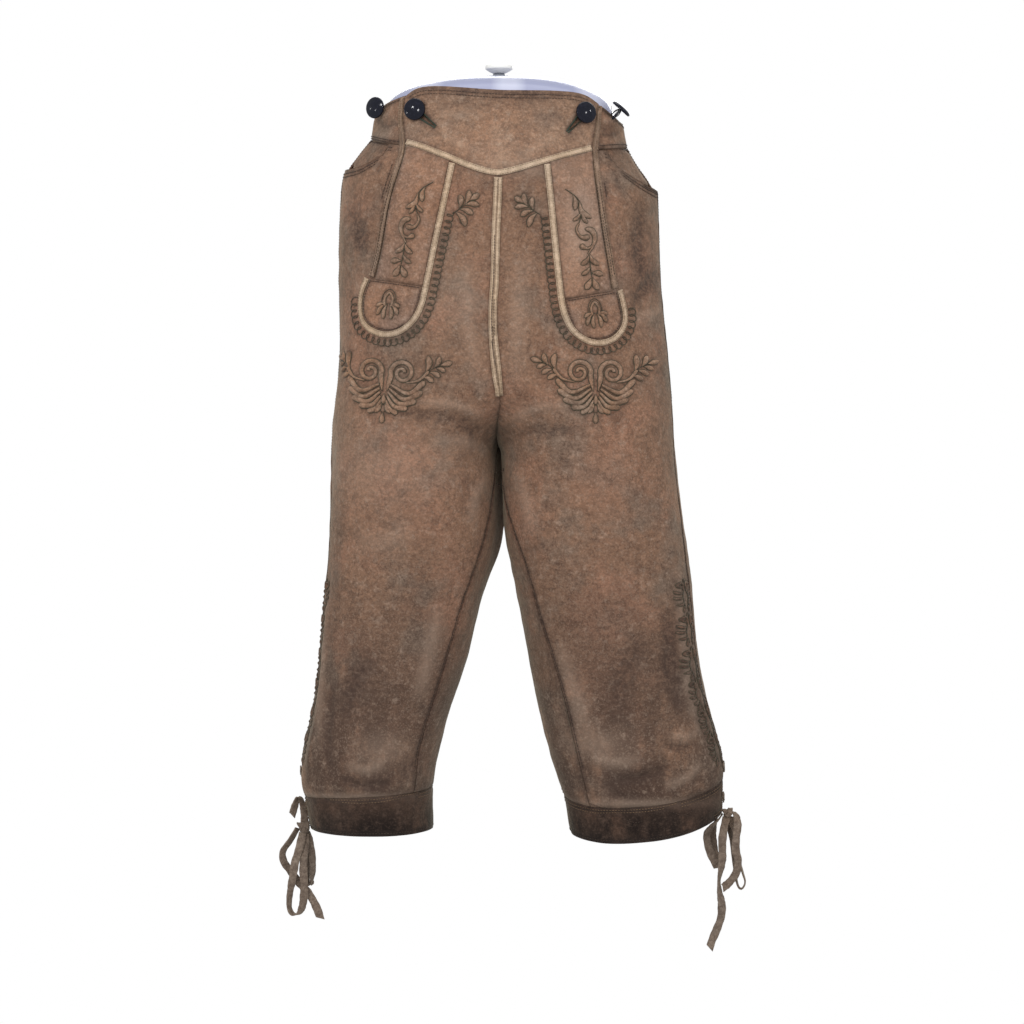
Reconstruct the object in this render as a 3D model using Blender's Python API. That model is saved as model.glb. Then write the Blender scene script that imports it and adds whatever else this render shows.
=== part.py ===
"""Knee-length leather breeches (lederhosen) filled out by a hanging hip form.

Run with: blender --background --python part.py

The frame: X to the viewer's right, Y into the garment from its front, Z up. The origin is the centre of the
knob's top face, where the form is held. "left" and "right" are the viewer's. Sizes are in millimetres, and
MM turns them into Blender's metres.

The cloth is a set of leather walls. All of them are read from one surface, shell(), which gives the
garment's outside at an angle round a leg and a height. An angle of 0 looks to the front, 90 to the outer
side, 180 to the back and -90 (or 270) to the other leg.
"""

import math
from collections import namedtuple

import bmesh
import bpy
import numpy as np

MM = 0.001

# ---- Leather, seams and trims ----
WALL = 2.0  # a panel's leather
SEAM = 0.3  # between two pieces that are sewn edge to edge
LIFT = 0.8  # under a piece that lies on a panel
TRIM = 1.3  # thickness of the narrow bindings
BINDING_WIDTH = 6.0
FLY_BINDING_WIDTH = 4.4
FLAP_EDGE_WIDTH = 6.5
PATCH_THICK = 1.4

# ---- Heights ----
FLY_CURVE_Z = -300.0  # here the centre front seam starts to curve under
SEAT_CURVE_Z = -190.0  # here the centre back seam starts to curve under
CROTCH_Z = -394.0
VENT_TOP_Z = -722.0
SQUARENESS = 2.35  # exponent of the rings: 2 is an ellipse, more is squarer

Section = namedtuple("Section", "z inner outer front middle back")

# inner and outer are distances from the centre plane, and inner counts only below the crotch.
SECTIONS = {
    "left": [
        Section(-20, 0, 119, -90, 0, 92),
        Section(-45, 0, 126, -94, 0, 96),
        Section(-62, 0, 132, -97, 0, 99),
        Section(-78, 0, 134, -99, 0, 101),
        Section(-86, 0, 140, -101, 1, 103),
        Section(-95, 0, 147, -103, 1, 105),
        Section(-106, 0, 155, -106, 2, 108),
        Section(-117, 0, 162, -109, 3, 112),
        Section(-132, 0, 165, -112, 4, 117),
        Section(-184, 0, 169, -116, 6, 128),
        Section(-226, 0, 168, -118, 7, 134),
        Section(-268, 0, 167, -118, 7, 138),
        Section(-310, 0, 168, -116, 6, 136),
        Section(-352, 0, 171, -112, 4, 128),
        Section(-394, 0.9, 174, -106, 2, 117),
        Section(-436, 0.9, 175, -101, 2, 107),
        Section(-478, 1.0, 177.5, -97, 2, 99),
        Section(-520, 5.0, 180.5, -93, 2, 92),
        Section(-562, 18, 185, -89, 2, 86),
        Section(-604, 26, 188, -85, 2, 82),
        Section(-646, 39, 191, -81, 1, 78),
        Section(-688, 54, 199, -76, 0, 75),
        Section(-730, 65, 206, -70, 0, 71),
        Section(-751, 68, 206, -66, 0, 66),
        Section(-775, 68, 202, -63, 0, 63),
        Section(-810, 67, 197, -61, 0, 61),
    ],
    "right": [
        Section(-20, 0, 119, -90, 0, 92),
        Section(-45, 0, 126, -94, 0, 96),
        Section(-62, 0, 131, -97, 0, 99),
        Section(-84, 0, 134, -100, 0, 101),
        Section(-92, 0, 137, -102, 1, 104),
        Section(-106, 0, 144, -106, 2, 108),
        Section(-117, 0, 152, -109, 3, 112),
        Section(-126, 0, 159, -111, 3, 115),
        Section(-138, 0, 165.5, -112, 4, 118),
        Section(-184, 0, 168.5, -116, 6, 128),
        Section(-226, 0, 171, -118, 7, 134),
        Section(-268, 0, 174, -118, 7, 138),
        Section(-310, 0, 179, -116, 6, 136),
        Section(-352, 0, 182, -112, 4, 128),
        Section(-394, 0.9, 184, -106, 2, 117),
        Section(-436, 0.9, 189, -101, 2, 107),
        Section(-478, 1.0, 195, -97, 2, 99),
        Section(-520, 9.5, 200.5, -92, 2, 91),
        Section(-562, 17, 206, -87, 2, 84),
        Section(-604, 26, 209, -82, 2, 78),
        Section(-646, 33.5, 215, -76, 1, 72),
        Section(-688, 42, 226, -69, 0, 66),
        Section(-730, 55, 234, -61, -1, 59),
        Section(-762, 66, 235, -53, -2, 50),
        Section(-830, 76, 232, -49, -2, 46),
    ],
}

# Where the seams run, as angles round the leg.
SeamRow = namedtuple("SeamRow", "z inseam side")
SEAM_ROWS = {
    "left": [
        SeamRow(-20, 0, 88),
        SeamRow(-394, -90, 84),
        SeamRow(-442, -72, 80),
        SeamRow(-504, -57, 77),
        SeamRow(-541, -50, 75),
        SeamRow(-646, -42, 76),
        SeamRow(-700, -42, 84),
        SeamRow(-830, -44, 92),
    ],
    "right": [
        SeamRow(-20, 0, 88),
        SeamRow(-394, -90, 78),
        SeamRow(-433, -79, 72),
        SeamRow(-517, -53, 68),
        SeamRow(-579, -48, 68),
        SeamRow(-670, -37, 72),
        SeamRow(-723, -39, 82),
        SeamRow(-830, -40, 90),
    ],
}

# Heights of a line that runs round a leg, given at its front, outer side, back and inner side.
Round = namedtuple("Round", "front outer back inner")
BAND_TOP = {"left": Round(-763, -766, -763, -757), "right": Round(-774, -747, -752, -766)}
BAND_HEM = {"left": Round(-804, -800, -803, -800), "right": Round(-811, -783, -794, -804)}

# The leather is fuller than the knee band and stands out just above it.
BLOUSE_RISE = 15.0  # height of the fullest place above the band's seam
BLOUSE_OUT = {"left": Round(5, 1, 6, 1), "right": Round(6, 1, 6, 1)}

# Soft folds: a ridge (or, below zero, a trough) from one place to another. Angles are in degrees.
Fold = namedtuple("Fold", "side angle_a z_a angle_b z_b half_width height")
FOLDS = [
    Fold("right", 48, -440, 56, -600, 10, 3.0),
    Fold("right", 52, -570, 62, -720, 9, 4.0),
    Fold("right", -34, -712, 28, -738, 8, 4.0),
    Fold("right", -12, -752, 34, -742, 7, -4.0),
    Fold("right", 20, -690, 54, -684, 6, 2.0),
    Fold("right", 200, -430, 160, -520, 16, 4.0),
    Fold("left", 62, -590, 58, -735, 7, 3.0),
    Fold("left", 30, -742, 64, -748, 8, -3.5),
    Fold("left", -50, -362, -12, -345, 9, 3.0),
    Fold("left", -52, -400, -20, -372, 9, -2.5),
    Fold("left", 165, -430, 205, -520, 16, 4.0),
    Fold("left", 140, -640, 190, -700, 14, 4.0),
    Fold("right", 140, -610, 195, -690, 14, 4.0),
]

LEGS = ("left", "right")
OUTWARD = {"left": -1.0, "right": 1.0}


def table_curve(rows, column, key="z"):
    """A smooth curve through one column of a table against its key, that never swings past its rows."""
    rows = sorted(rows, key=lambda row: getattr(row, key))
    z = np.array([getattr(row, key) for row in rows], float)
    v = np.array([getattr(row, column) for row in rows], float)
    step = np.diff(z)
    slope = np.diff(v) / step
    tangent = np.zeros(len(v))
    same_way = slope[:-1] * slope[1:] > 0
    before, after = step[1:] + 2 * step[:-1], 2 * step[1:] + step[:-1]
    safe_a = np.where(same_way, slope[:-1], 1.0)
    safe_b = np.where(same_way, slope[1:], 1.0)
    harmonic = (before + after) / (before / safe_a + after / safe_b)
    tangent[1:-1] = np.where(same_way, harmonic, 0.0)
    tangent[0], tangent[-1] = slope[0], slope[-1]

    def curve(at):
        at = np.clip(np.asarray(at, float), z[0], z[-1])
        k = np.clip(np.searchsorted(z, at) - 1, 0, len(z) - 2)
        h = step[k]
        t = (at - z[k]) / h
        return (
            v[k] * (2 * t**3 - 3 * t**2 + 1)
            + tangent[k] * h * (t**3 - 2 * t**2 + t)
            + v[k + 1] * (3 * t**2 - 2 * t**3)
            + tangent[k + 1] * h * (t**3 - t**2)
        )

    return curve


BODY = {leg: {c: table_curve(SECTIONS[leg], c) for c in Section._fields[1:]} for leg in LEGS}
SEAMS = {leg: {c: table_curve(SEAM_ROWS[leg], c) for c in SeamRow._fields[1:]} for leg in LEGS}


def around(line, angle):
    """A Round's value at an angle: it passes through its four values and is smooth between them."""
    turn = np.radians(angle)
    mean = (line.front + line.outer + line.back + line.inner) / 4
    return (
        mean
        + (line.front - line.back) / 2 * np.cos(turn)
        + (line.outer - line.inner) / 2 * np.sin(turn)
        + (line.front + line.back - line.outer - line.inner) / 4 * np.cos(2 * turn)
    )


def crotch_share(z, start):
    """0 where a centre seam is straight, 1 at the crotch, where the leg's ring is whole."""
    t = np.clip((start - z) / (start - CROTCH_Z), 0, 1)
    return 2 * t**2 - t**3


def ring(leg, angle, z):
    """The plain ring's points: distance from the centre plane, and depth."""
    body, turn = BODY[leg], np.radians(angle)
    sine, cosine = np.sin(turn), np.cos(turn)
    share = np.where(cosine >= 0, crotch_share(z, FLY_CURVE_Z), crotch_share(z, SEAT_CURVE_Z))
    inner = np.where(z > CROTCH_Z, body["inner"](CROTCH_Z) * share, body["inner"](z))
    outer = body["outer"](z)
    half = (outer - inner) / (1 + share)
    centre = outer - half
    power = 2 / SQUARENESS
    across = centre + half * np.sign(sine) * np.abs(sine) ** power
    middle = body["middle"](z)
    reach = np.where(cosine >= 0, body["front"](z) - middle, body["back"](z) - middle)
    return across, middle + reach * np.abs(cosine) ** power


def centre_angle(leg, z, back=False):
    """The angle at which a ring above the crotch meets the centre plane, with room for half a seam."""
    share = crotch_share(z, SEAT_CURVE_Z if back else FLY_CURVE_Z)
    body = BODY[leg]
    inner = body["inner"](CROTCH_Z) * share
    half = (body["outer"](z) - inner) / (1 + share)
    centre = body["outer"](z) - half
    sine = np.clip((centre - SEAM / 2) / half, -1, 1)
    angle = -np.degrees(np.arcsin(np.sign(sine) * np.abs(sine) ** (SQUARENESS / 2)))
    return 180 - angle if back else angle


def fold_height(leg, angle, z):
    """How far the folds and the fullness above the knee band move the surface out."""
    girth = 95.0  # a leg's mean radius, which turns angles into mm
    wrapped = (np.asarray(angle, float) + 90) % 360 - 90
    out = np.zeros(np.broadcast(wrapped, z).shape)
    for fold in FOLDS:
        if fold.side != leg:
            continue
        ax, bx = (math.radians(a) * girth for a in (fold.angle_a, fold.angle_b))
        dx, dz = bx - ax, fold.z_b - fold.z_a
        px, pz = np.radians(wrapped) * girth - ax, z - fold.z_a
        along = (px * dx + pz * dz) / (dx * dx + dz * dz)
        near = np.clip(along, 0, 1)
        away = np.hypot(px - near * dx, pz - near * dz)
        fade = 0.35 + 0.65 * np.sin(math.pi * np.clip(near, 0.0, 1.0))
        out = out + fold.height * fade * np.exp(-((away / fold.half_width) ** 2))
    rise = np.maximum(z - around(BAND_TOP[leg], angle), 0) / BLOUSE_RISE
    full = around(BLOUSE_OUT[leg], angle) * rise * np.exp(1 - rise)
    quiet_near_band = np.clip(rise * 2, 0, 1)
    return out * quiet_near_band + full


def bare_shell(leg, angle, z):
    across, depth = ring(leg, angle, z)
    return np.stack([OUTWARD[leg] * across, depth, np.broadcast_to(z, across.shape)], axis=-1)


def shell_normal(leg, angle, z):
    """The outward direction of the plain surface."""
    turn, rise = 0.4, 1.5
    round_it = bare_shell(leg, angle + turn, z) - bare_shell(leg, angle - turn, z)
    up = bare_shell(leg, angle, z + rise) - bare_shell(leg, angle, z - rise)
    normal = np.cross(up, round_it) * OUTWARD[leg] * -1
    return normal / np.maximum(np.linalg.norm(normal, axis=-1, keepdims=True), 1e-9)


def shell(leg, angle, z, lift=0.0):
    """Points of the garment's outside, moved out by lift."""
    angle, z = np.broadcast_arrays(np.asarray(angle, float), np.asarray(z, float))
    height = fold_height(leg, angle, z) + lift
    return bare_shell(leg, angle, z) + shell_normal(leg, angle, z) * height[..., None]


def front_angle(leg, x, z):
    """The angle, on the front half of a ring, whose point is x across the centre plane."""
    share = crotch_share(z, FLY_CURVE_Z)
    body = BODY[leg]
    inner = np.where(z > CROTCH_Z, body["inner"](CROTCH_Z) * share, body["inner"](z))
    half = (body["outer"](z) - inner) / (1 + share)
    centre = body["outer"](z) - half
    sine = np.clip((OUTWARD[leg] * x - centre) / half, -1, 1)
    return np.degrees(np.arcsin(np.sign(sine) * np.abs(sine) ** (SQUARENESS / 2)))


def front_point(x, z, lift=0.0):
    """A point of the garment's front, by its place across and its height, on whichever leg it lies."""
    x, z = np.broadcast_arrays(np.asarray(x, float), np.asarray(z, float))
    on = {leg: shell(leg, front_angle(leg, x, z), z, lift) for leg in LEGS}
    return np.where((x < 0)[..., None], on["left"], on["right"])


# ---- The drop front: its flap, bib and trims ----
# Points on the garment's front are given by x, across, and z.
FrontPoint = namedtuple("FrontPoint", "x z")

V_SEAM = [
    FrontPoint(-97, -91.5),
    FrontPoint(-80, -97),
    FrontPoint(-50, -110),
    FrontPoint(-19, -122.6),
    FrontPoint(-1.5, -126.3),
    FrontPoint(14, -123.6),
    FrontPoint(47, -113.4),
    FrontPoint(78, -103.4),
    FrontPoint(97, -97.5),
]
BIB_TOP = [
    FrontPoint(-97.5, -46),
    FrontPoint(-94, -40),
    FrontPoint(-87, -36.3),
    FrontPoint(-72, -34),
    FrontPoint(-37, -36.7),
    FrontPoint(5, -40),
    FrontPoint(52, -39.5),
    FrontPoint(76, -40),
    FrontPoint(90, -42.6),
    FrontPoint(97, -46),
    FrontPoint(101, -51),
]
# The slit beside the flap, from the bib's corner down to its end.
SLIT = {
    "left": [
        FrontPoint(-97.5, -44),
        FrontPoint(-99.3, -65),
        FrontPoint(-98.0, -82),
        FrontPoint(-97.0, -98),
        FrontPoint(-100.0, -112),
        FrontPoint(-105.3, -128),
        FrontPoint(-111.3, -147),
        FrontPoint(-116.4, -171),
        FrontPoint(-121.1, -197),
        FrontPoint(-126.4, -219),
        FrontPoint(-129.5, -228),
    ],
    "right": [
        FrontPoint(101.5, -48),
        FrontPoint(101.0, -68),
        FrontPoint(98.5, -86),
        FrontPoint(97.2, -100),
        FrontPoint(98.0, -112),
        FrontPoint(102.3, -147),
        FrontPoint(107.7, -183),
        FrontPoint(113.1, -212),
        FrontPoint(116.5, -232),
        FrontPoint(118.5, -241.3),
    ],
}
SLIT_END_Z = {"left": -228.0, "right": -232.0}
FLAP_OVER = WALL + LIFT  # the flap lies over the waistband and the hip pieces by this much
FLAP_FLAT_Z = -135.0  # from here down to the slit's end the flap comes level with the front

# The binding at the tongue's inner edge, then round the patch below it and up to the slit.
TONGUE_EDGE = {
    "left": [
        FrontPoint(-46.6, -116.5),
        FrontPoint(-52.8, -147),
        FrontPoint(-59.3, -177),
        FrontPoint(-66.5, -210),
        FrontPoint(-73.2, -241.5),
    ],
    "right": [
        FrontPoint(48.6, -118),
        FrontPoint(52.3, -150),
        FrontPoint(56.2, -185),
        FrontPoint(60.2, -222),
        FrontPoint(64.2, -255),
    ],
}
PATCH_EDGE = {
    "left": [
        FrontPoint(-73.2, -241.5),
        FrontPoint(-76.4, -256),
        FrontPoint(-82.0, -269.5),
        FrontPoint(-92.5, -281.4),
        FrontPoint(-104.4, -287.4),
        FrontPoint(-115.5, -288.4),
        FrontPoint(-128.5, -284.2),
        FrontPoint(-137.8, -275),
        FrontPoint(-141.2, -262),
        FrontPoint(-139.6, -246),
        FrontPoint(-134.2, -230),
    ],
    "right": [
        FrontPoint(64.2, -255),
        FrontPoint(68.2, -272),
        FrontPoint(76.5, -286.5),
        FrontPoint(89.0, -295.2),
        FrontPoint(101.0, -297.6),
        FrontPoint(114.9, -294.2),
        FrontPoint(125.2, -284),
        FrontPoint(128.8, -271.5),
        FrontPoint(126.3, -256),
        FrontPoint(122.8, -243),
    ],
}

# ---- Waistband and pockets ----
WAIST_TOP = {"left": Round(-47, -57, -39, -57), "right": Round(-48, -62, -40, -62)}
WAIST_SEAM = {"left": Round(-102, -79, -86, -79), "right": Round(-103, -88, -88, -88)}
RiseRow = namedtuple("RiseRow", "angle rise")
# The waistband climbs to the bib's corners, where the old leather has been pulled up by its buttons.
WAIST_RISE = {
    "left": [
        RiseRow(0, 0),
        RiseRow(30, 1.5),
        RiseRow(39, 7.5),
        RiseRow(46, 13.0),
        RiseRow(54, 11.5),
        RiseRow(63, 10.4),
        RiseRow(72, 9.0),
        RiseRow(84, 5.5),
        RiseRow(105, 1.5),
        RiseRow(135, 0),
        RiseRow(180, 0),
    ],
    "right": [
        RiseRow(0, 0),
        RiseRow(30, 1.0),
        RiseRow(40, 5.5),
        RiseRow(48, 8.4),
        RiseRow(54, 6.6),
        RiseRow(60, 3.0),
        RiseRow(67, -1.0),
        RiseRow(76, -2.6),
        RiseRow(92, -1.0),
        RiseRow(120, 0),
        RiseRow(180, 0),
    ],
}
MouthRow = namedtuple("MouthRow", "angle z")
# The front's upper edge outside the slit: along the waistband, then down and out as the pocket's mouth.
HIP_EDGE = {
    "left": [
        MouthRow(30, -98),
        MouthRow(38, -95),
        MouthRow(49.0, -91.5),
        MouthRow(50.0, -100),
        MouthRow(51.5, -108.5),
        MouthRow(55, -113.6),
        MouthRow(62, -115.3),
        MouthRow(75, -114.5),
        MouthRow(92, -113),
    ],
    "right": [
        MouthRow(30, -103),
        MouthRow(38, -100.5),
        MouthRow(47.4, -98.5),
        MouthRow(48.6, -108),
        MouthRow(50.4, -116.5),
        MouthRow(54, -123),
        MouthRow(60, -129.5),
        MouthRow(71, -134.5),
        MouthRow(92, -135),
    ],
}
MOUTH_START = {"left": 49.0, "right": 47.4}
# Columns of the hip part of a front, as shares of the way from the slit to the side seam.
HIP_COLUMNS = (0, 0.11, 0.20, 0.235, 0.30, 0.45, 0.65, 0.83, 1)
FLAP_COLUMNS = (0, 0.14, 0.28, 0.42, 0.56, 0.71, 0.86, 1)
BACK_COLUMNS = 11
# Rows of a front or a back: even ones down to the slit's end, then at these heights.
UPPER_ROWS = 9
LOWER_ROWS_Z = (-252, -278, -303, -327, -349, -369, -387, -403, -424, -452, -486, -525, -568, -612, -655)
LOWER_ROWS_Z += (-692, -720, -738, -750, -758, -765)
POCKET_UNDER = WALL + 1.4
MOUTH_GAPE = 2.6  # how far the mouth's edge stands off
POCKET_REACH = 24.0  # the pocket facing goes this far below its mouth
POCKET_THICK = 1.4

# ---- Knee bands ----
BAND_WALL = 3.0
VENT_HALF = 4.0  # half the vent's opening at the band

V_LINE = table_curve(V_SEAM, "z", key="x")
BIB_TOP_LINE = table_curve(BIB_TOP, "z", key="x")
SLIT_LINE = {leg: table_curve(SLIT[leg], "x") for leg in LEGS}
HIP_EDGE_LINE = {leg: table_curve(HIP_EDGE[leg], "z", key="angle") for leg in LEGS}
WAIST_RISE_LINE = {leg: table_curve(WAIST_RISE[leg], "rise", key="angle") for leg in LEGS}


def mix(start, end, share):
    return start + (end - start) * share


def smooth_step(t):
    t = np.clip(t, 0, 1)
    return t * t * (3 - 2 * t)


def flap_lift(leg, z):
    """How far the flap stands off the plain surface."""
    return FLAP_OVER * smooth_step((z - SLIT_END_Z[leg]) / (FLAP_FLAT_Z - SLIT_END_Z[leg]))


def on_flap(x, z, lift=0.0):
    """A point of the flap's outside, by its place across and its height."""
    x, z = np.broadcast_arrays(np.asarray(x, float), np.asarray(z, float))
    return front_point(x, z, lift + np.where(x < 0, flap_lift("left", z), flap_lift("right", z)))


def step_round(leg, angle, z, distance):
    """The angle that lies a distance further round the surface, at the same height."""
    a, b = bare_shell(leg, angle - 0.5, z), bare_shell(leg, angle + 0.5, z)
    return angle + distance / np.maximum(np.linalg.norm(b - a, axis=-1), 0.05)


def leg_edge(leg, z, back):
    """The angle of a panel's inner edge: its centre seam, then its inseam."""
    inseam = np.where(z > CROTCH_Z, -90.0, SEAMS[leg]["inseam"](z))
    if back:
        below = step_round(leg, inseam, z, -SEAM) + 360
        return np.where(z > CROTCH_Z, np.minimum(centre_angle(leg, z, True), below), below)
    below = step_round(leg, inseam, z, SEAM)
    return np.where(z > CROTCH_Z, np.maximum(centre_angle(leg, z), below), below)


def side_edge(leg, z, back):
    """The angle of a panel's edge at the side seam, which opens as a vent above the knee band."""
    opening = smooth_step((VENT_TOP_Z - z) / 30.0)
    half = SEAM / 2 + (VENT_HALF - SEAM / 2) * opening
    return step_round(leg, SEAMS[leg]["side"](z), z, half if back else -half)


def settle(height_of, angle_of, start):
    """The height at which a slanted edge and a column of a panel meet."""
    z = np.full_like(angle_of(np.asarray(start, float)), start)
    for _ in range(12):
        z = height_of(angle_of(z))
    return z


# ---- Solids from grids of points ----


def grid_quads(indices, wrap=False):
    """The quads of a grid of vertex numbers, with the last column joined to the first if it wraps."""
    rows, columns = indices.shape
    quads = []
    for r in range(rows - 1):
        for c in range(columns if wrap else columns - 1):
            d = (c + 1) % columns
            quads.append((indices[r, c], indices[r, d], indices[r + 1, d], indices[r + 1, c]))
    return quads


def add_solid(name, points, faces, material):
    """One closed mesh object, from points in millimetres."""
    mesh = bpy.data.meshes.new(name)
    corners = [tuple(point) for point in np.asarray(points) * MM]
    mesh.from_pydata(corners, [], [tuple(int(i) for i in face) for face in faces])
    edit = bmesh.new()
    edit.from_mesh(mesh)
    bmesh.ops.recalc_face_normals(edit, faces=edit.faces)
    edit.to_mesh(mesh)
    edit.free()
    mesh.shade_smooth()
    mesh.set_sharp_from_angle(angle=math.radians(38))
    mesh.materials.append(material)
    thing = bpy.data.objects.new(name, mesh)
    bpy.context.collection.objects.link(thing)
    return thing


def add_wall(name, quads, outside, inside, material):
    """A wall between two sheets of points that share their quads, closed round every free edge."""
    outside, inside = outside.reshape(-1, 3), inside.reshape(-1, 3)
    count = len(outside)
    faces = list(quads) + [tuple(count + i for i in reversed(quad)) for quad in quads]
    directed = {(quad[k], quad[(k + 1) % 4]) for quad in quads for k in range(4)}
    faces += [(b, a, count + a, count + b) for a, b in directed if (b, a) not in directed]
    return add_solid(name, np.concatenate([outside, inside]), faces, material)


def add_sheet(name, outside, inside, material):
    """A wall from two plain grids of points."""
    indices = np.arange(outside.shape[0] * outside.shape[1]).reshape(outside.shape[:2])
    return add_wall(name, grid_quads(indices), outside, inside, material)


def add_strap(name, path, across, width, thick, material, face=None):
    """A flat strap along a path. across holds its width's direction, and face its outer side's."""
    path = np.asarray(path, float)
    along = np.gradient(path, axis=0)
    along /= np.linalg.norm(along, axis=1, keepdims=True)
    across = across - along * np.sum(across * along, axis=1, keepdims=True)
    across /= np.linalg.norm(across, axis=1, keepdims=True)
    face = np.cross(along, across) if face is None else face
    half = across * width / 2
    outside = np.stack([path - half + face * thick, path + half + face * thick], axis=1)
    inside = np.stack([path - half, path + half], axis=1)
    return add_sheet(name, outside, inside, material)


def add_turned(name, profile, place, axis, material, segments=16):
    """A turned piece: profile rows are (radius, height), from one end of the axis to the other."""
    axis = np.asarray(axis, float) / np.linalg.norm(axis)
    side = np.cross(axis, (0, 0, 1) if abs(axis[2]) < 0.9 else (1, 0, 0))
    side /= np.linalg.norm(side)
    other = np.cross(axis, side)
    turn = np.arange(segments) * 2 * math.pi / segments
    spokes = np.cos(turn)[:, None] * side + np.sin(turn)[:, None] * other
    rings = [np.asarray(place) + axis * height + spokes * radius for radius, height in profile]
    indices = np.arange(len(rings) * segments).reshape(len(rings), segments)
    faces = grid_quads(indices, wrap=True) + [tuple(indices[0]), tuple(reversed(indices[-1]))]
    return add_solid(name, np.concatenate(rings), faces, material)


# ---- Curves on the garment's front ----


def smooth_path(points, count):
    """Evenly spaced places on a smooth curve through a list of points."""
    knots = np.asarray(points, float)
    ends = np.concatenate([[2 * knots[0] - knots[1]], knots, [2 * knots[-1] - knots[-2]]])
    fine = []
    for a, b, c, d in zip(ends, ends[1:], ends[2:], ends[3:]):
        for t in np.arange(0, 1, 1 / 24):
            bend = (2 * a - 5 * b + 4 * c - d) * t**2 + (3 * b - a - 3 * c + d) * t**3
            fine.append(0.5 * (2 * b + (c - a) * t + bend))
    fine = np.array(fine + [knots[-1]])
    length = np.concatenate([[0], np.cumsum(np.linalg.norm(np.diff(fine, axis=0), axis=1))])
    at = np.linspace(0, length[-1], count)
    return np.stack([np.interp(at, length, fine[:, k]) for k in range(fine.shape[1])], axis=1)


def beside(path, distance):
    """A path of (x, z) moved to its left by a distance."""
    along = np.gradient(path, axis=0)
    along /= np.linalg.norm(along, axis=1, keepdims=True)
    return path + np.stack([-along[:, 1], along[:, 0]], axis=1) * distance


def fill_outline(top, bottom, left, right):
    """A grid of (x, z) points inside four edges, each given as points; the corners are shared."""
    u = np.linspace(0, 1, len(top))[None, :, None]
    v = np.linspace(0, 1, len(left))[:, None, None]
    ruled = (1 - v) * top[None] + v * bottom[None] + (1 - u) * left[:, None] + u * right[:, None]
    corners = (1 - v) * ((1 - u) * top[0] + u * top[-1]) + v * ((1 - u) * bottom[0] + u * bottom[-1])
    return ruled - corners


def add_front_strip(name, path, width, thick, material, lift=LIFT):
    """A strip that lies on the flap along a path of (x, z)."""
    middle = on_flap(path[:, 0], path[:, 1], lift)
    nudge = 0.5
    face = on_flap(path[:, 0], path[:, 1], lift + nudge) - middle
    face /= np.linalg.norm(face, axis=1, keepdims=True)
    along = np.gradient(middle, axis=0)
    return add_strap(name, middle, np.cross(face, along), width, thick, material, face)


# ---- Materials ----


def add_material(name, colour, roughness, metallic=0.0):
    material = bpy.data.materials.new(name)
    material.use_nodes = True
    surface = material.node_tree.nodes["Principled BSDF"]
    surface.inputs["Base Color"].default_value = (*colour, 1.0)
    surface.inputs["Roughness"].default_value = roughness
    surface.inputs["Metallic"].default_value = metallic
    return material


# ---- The leather pieces ----


def slit_side(leg, z, way):
    """The angle of the slit's edge on one side: its line down to its end, then straight down."""
    end_z = SLIT_END_Z[leg]
    above = front_angle(leg, SLIT_LINE[leg](z), z)
    at_end = front_angle(leg, SLIT_LINE[leg](end_z), end_z)
    gap = np.where(z > end_z + 1.0, SEAM / 2, 0.0)
    return step_round(leg, np.where(z >= end_z, above, at_end), z, way * gap)


def flap_angle(leg, z):
    return mix(leg_edge(leg, z, False), slit_side(leg, z, -1), np.array(FLAP_COLUMNS))


def hip_angle(leg, z):
    return mix(slit_side(leg, z, 1), side_edge(leg, z, False), np.array(HIP_COLUMNS))


def back_angle(leg, z):
    return mix(side_edge(leg, z, True), leg_edge(leg, z, True), np.linspace(0, 1, BACK_COLUMNS + 1))


def panel_heights(leg, top, angle_at):
    """Rows of heights for a panel's columns, down to the knee band. Panels share their lower rows."""
    end_z, low_z = SLIT_END_Z[leg], LOWER_ROWS_Z[-1]
    bottom = around(BAND_TOP[leg], angle_at(leg, np.full_like(top, low_z)))
    upper = np.linspace(0, 1, UPPER_ROWS + 1)[:, None]
    lower = (np.array(LOWER_ROWS_Z)[:, None] - end_z) / (low_z - end_z)
    return np.concatenate([mix(top[None, :], end_z, upper), mix(end_z, bottom[None, :], lower)])


def flap_top(leg):
    """Heights and places across of the flap's upper edge, which the bib's lower edge shares."""

    def v_height(angle):
        return V_LINE(bare_shell(leg, angle, np.full_like(angle, -110.0))[..., 0])

    z = settle(v_height, lambda at: flap_angle(leg, at), -110.0)
    x = bare_shell(leg, flap_angle(leg, z), z)[..., 0]
    return V_LINE(x), x


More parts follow.
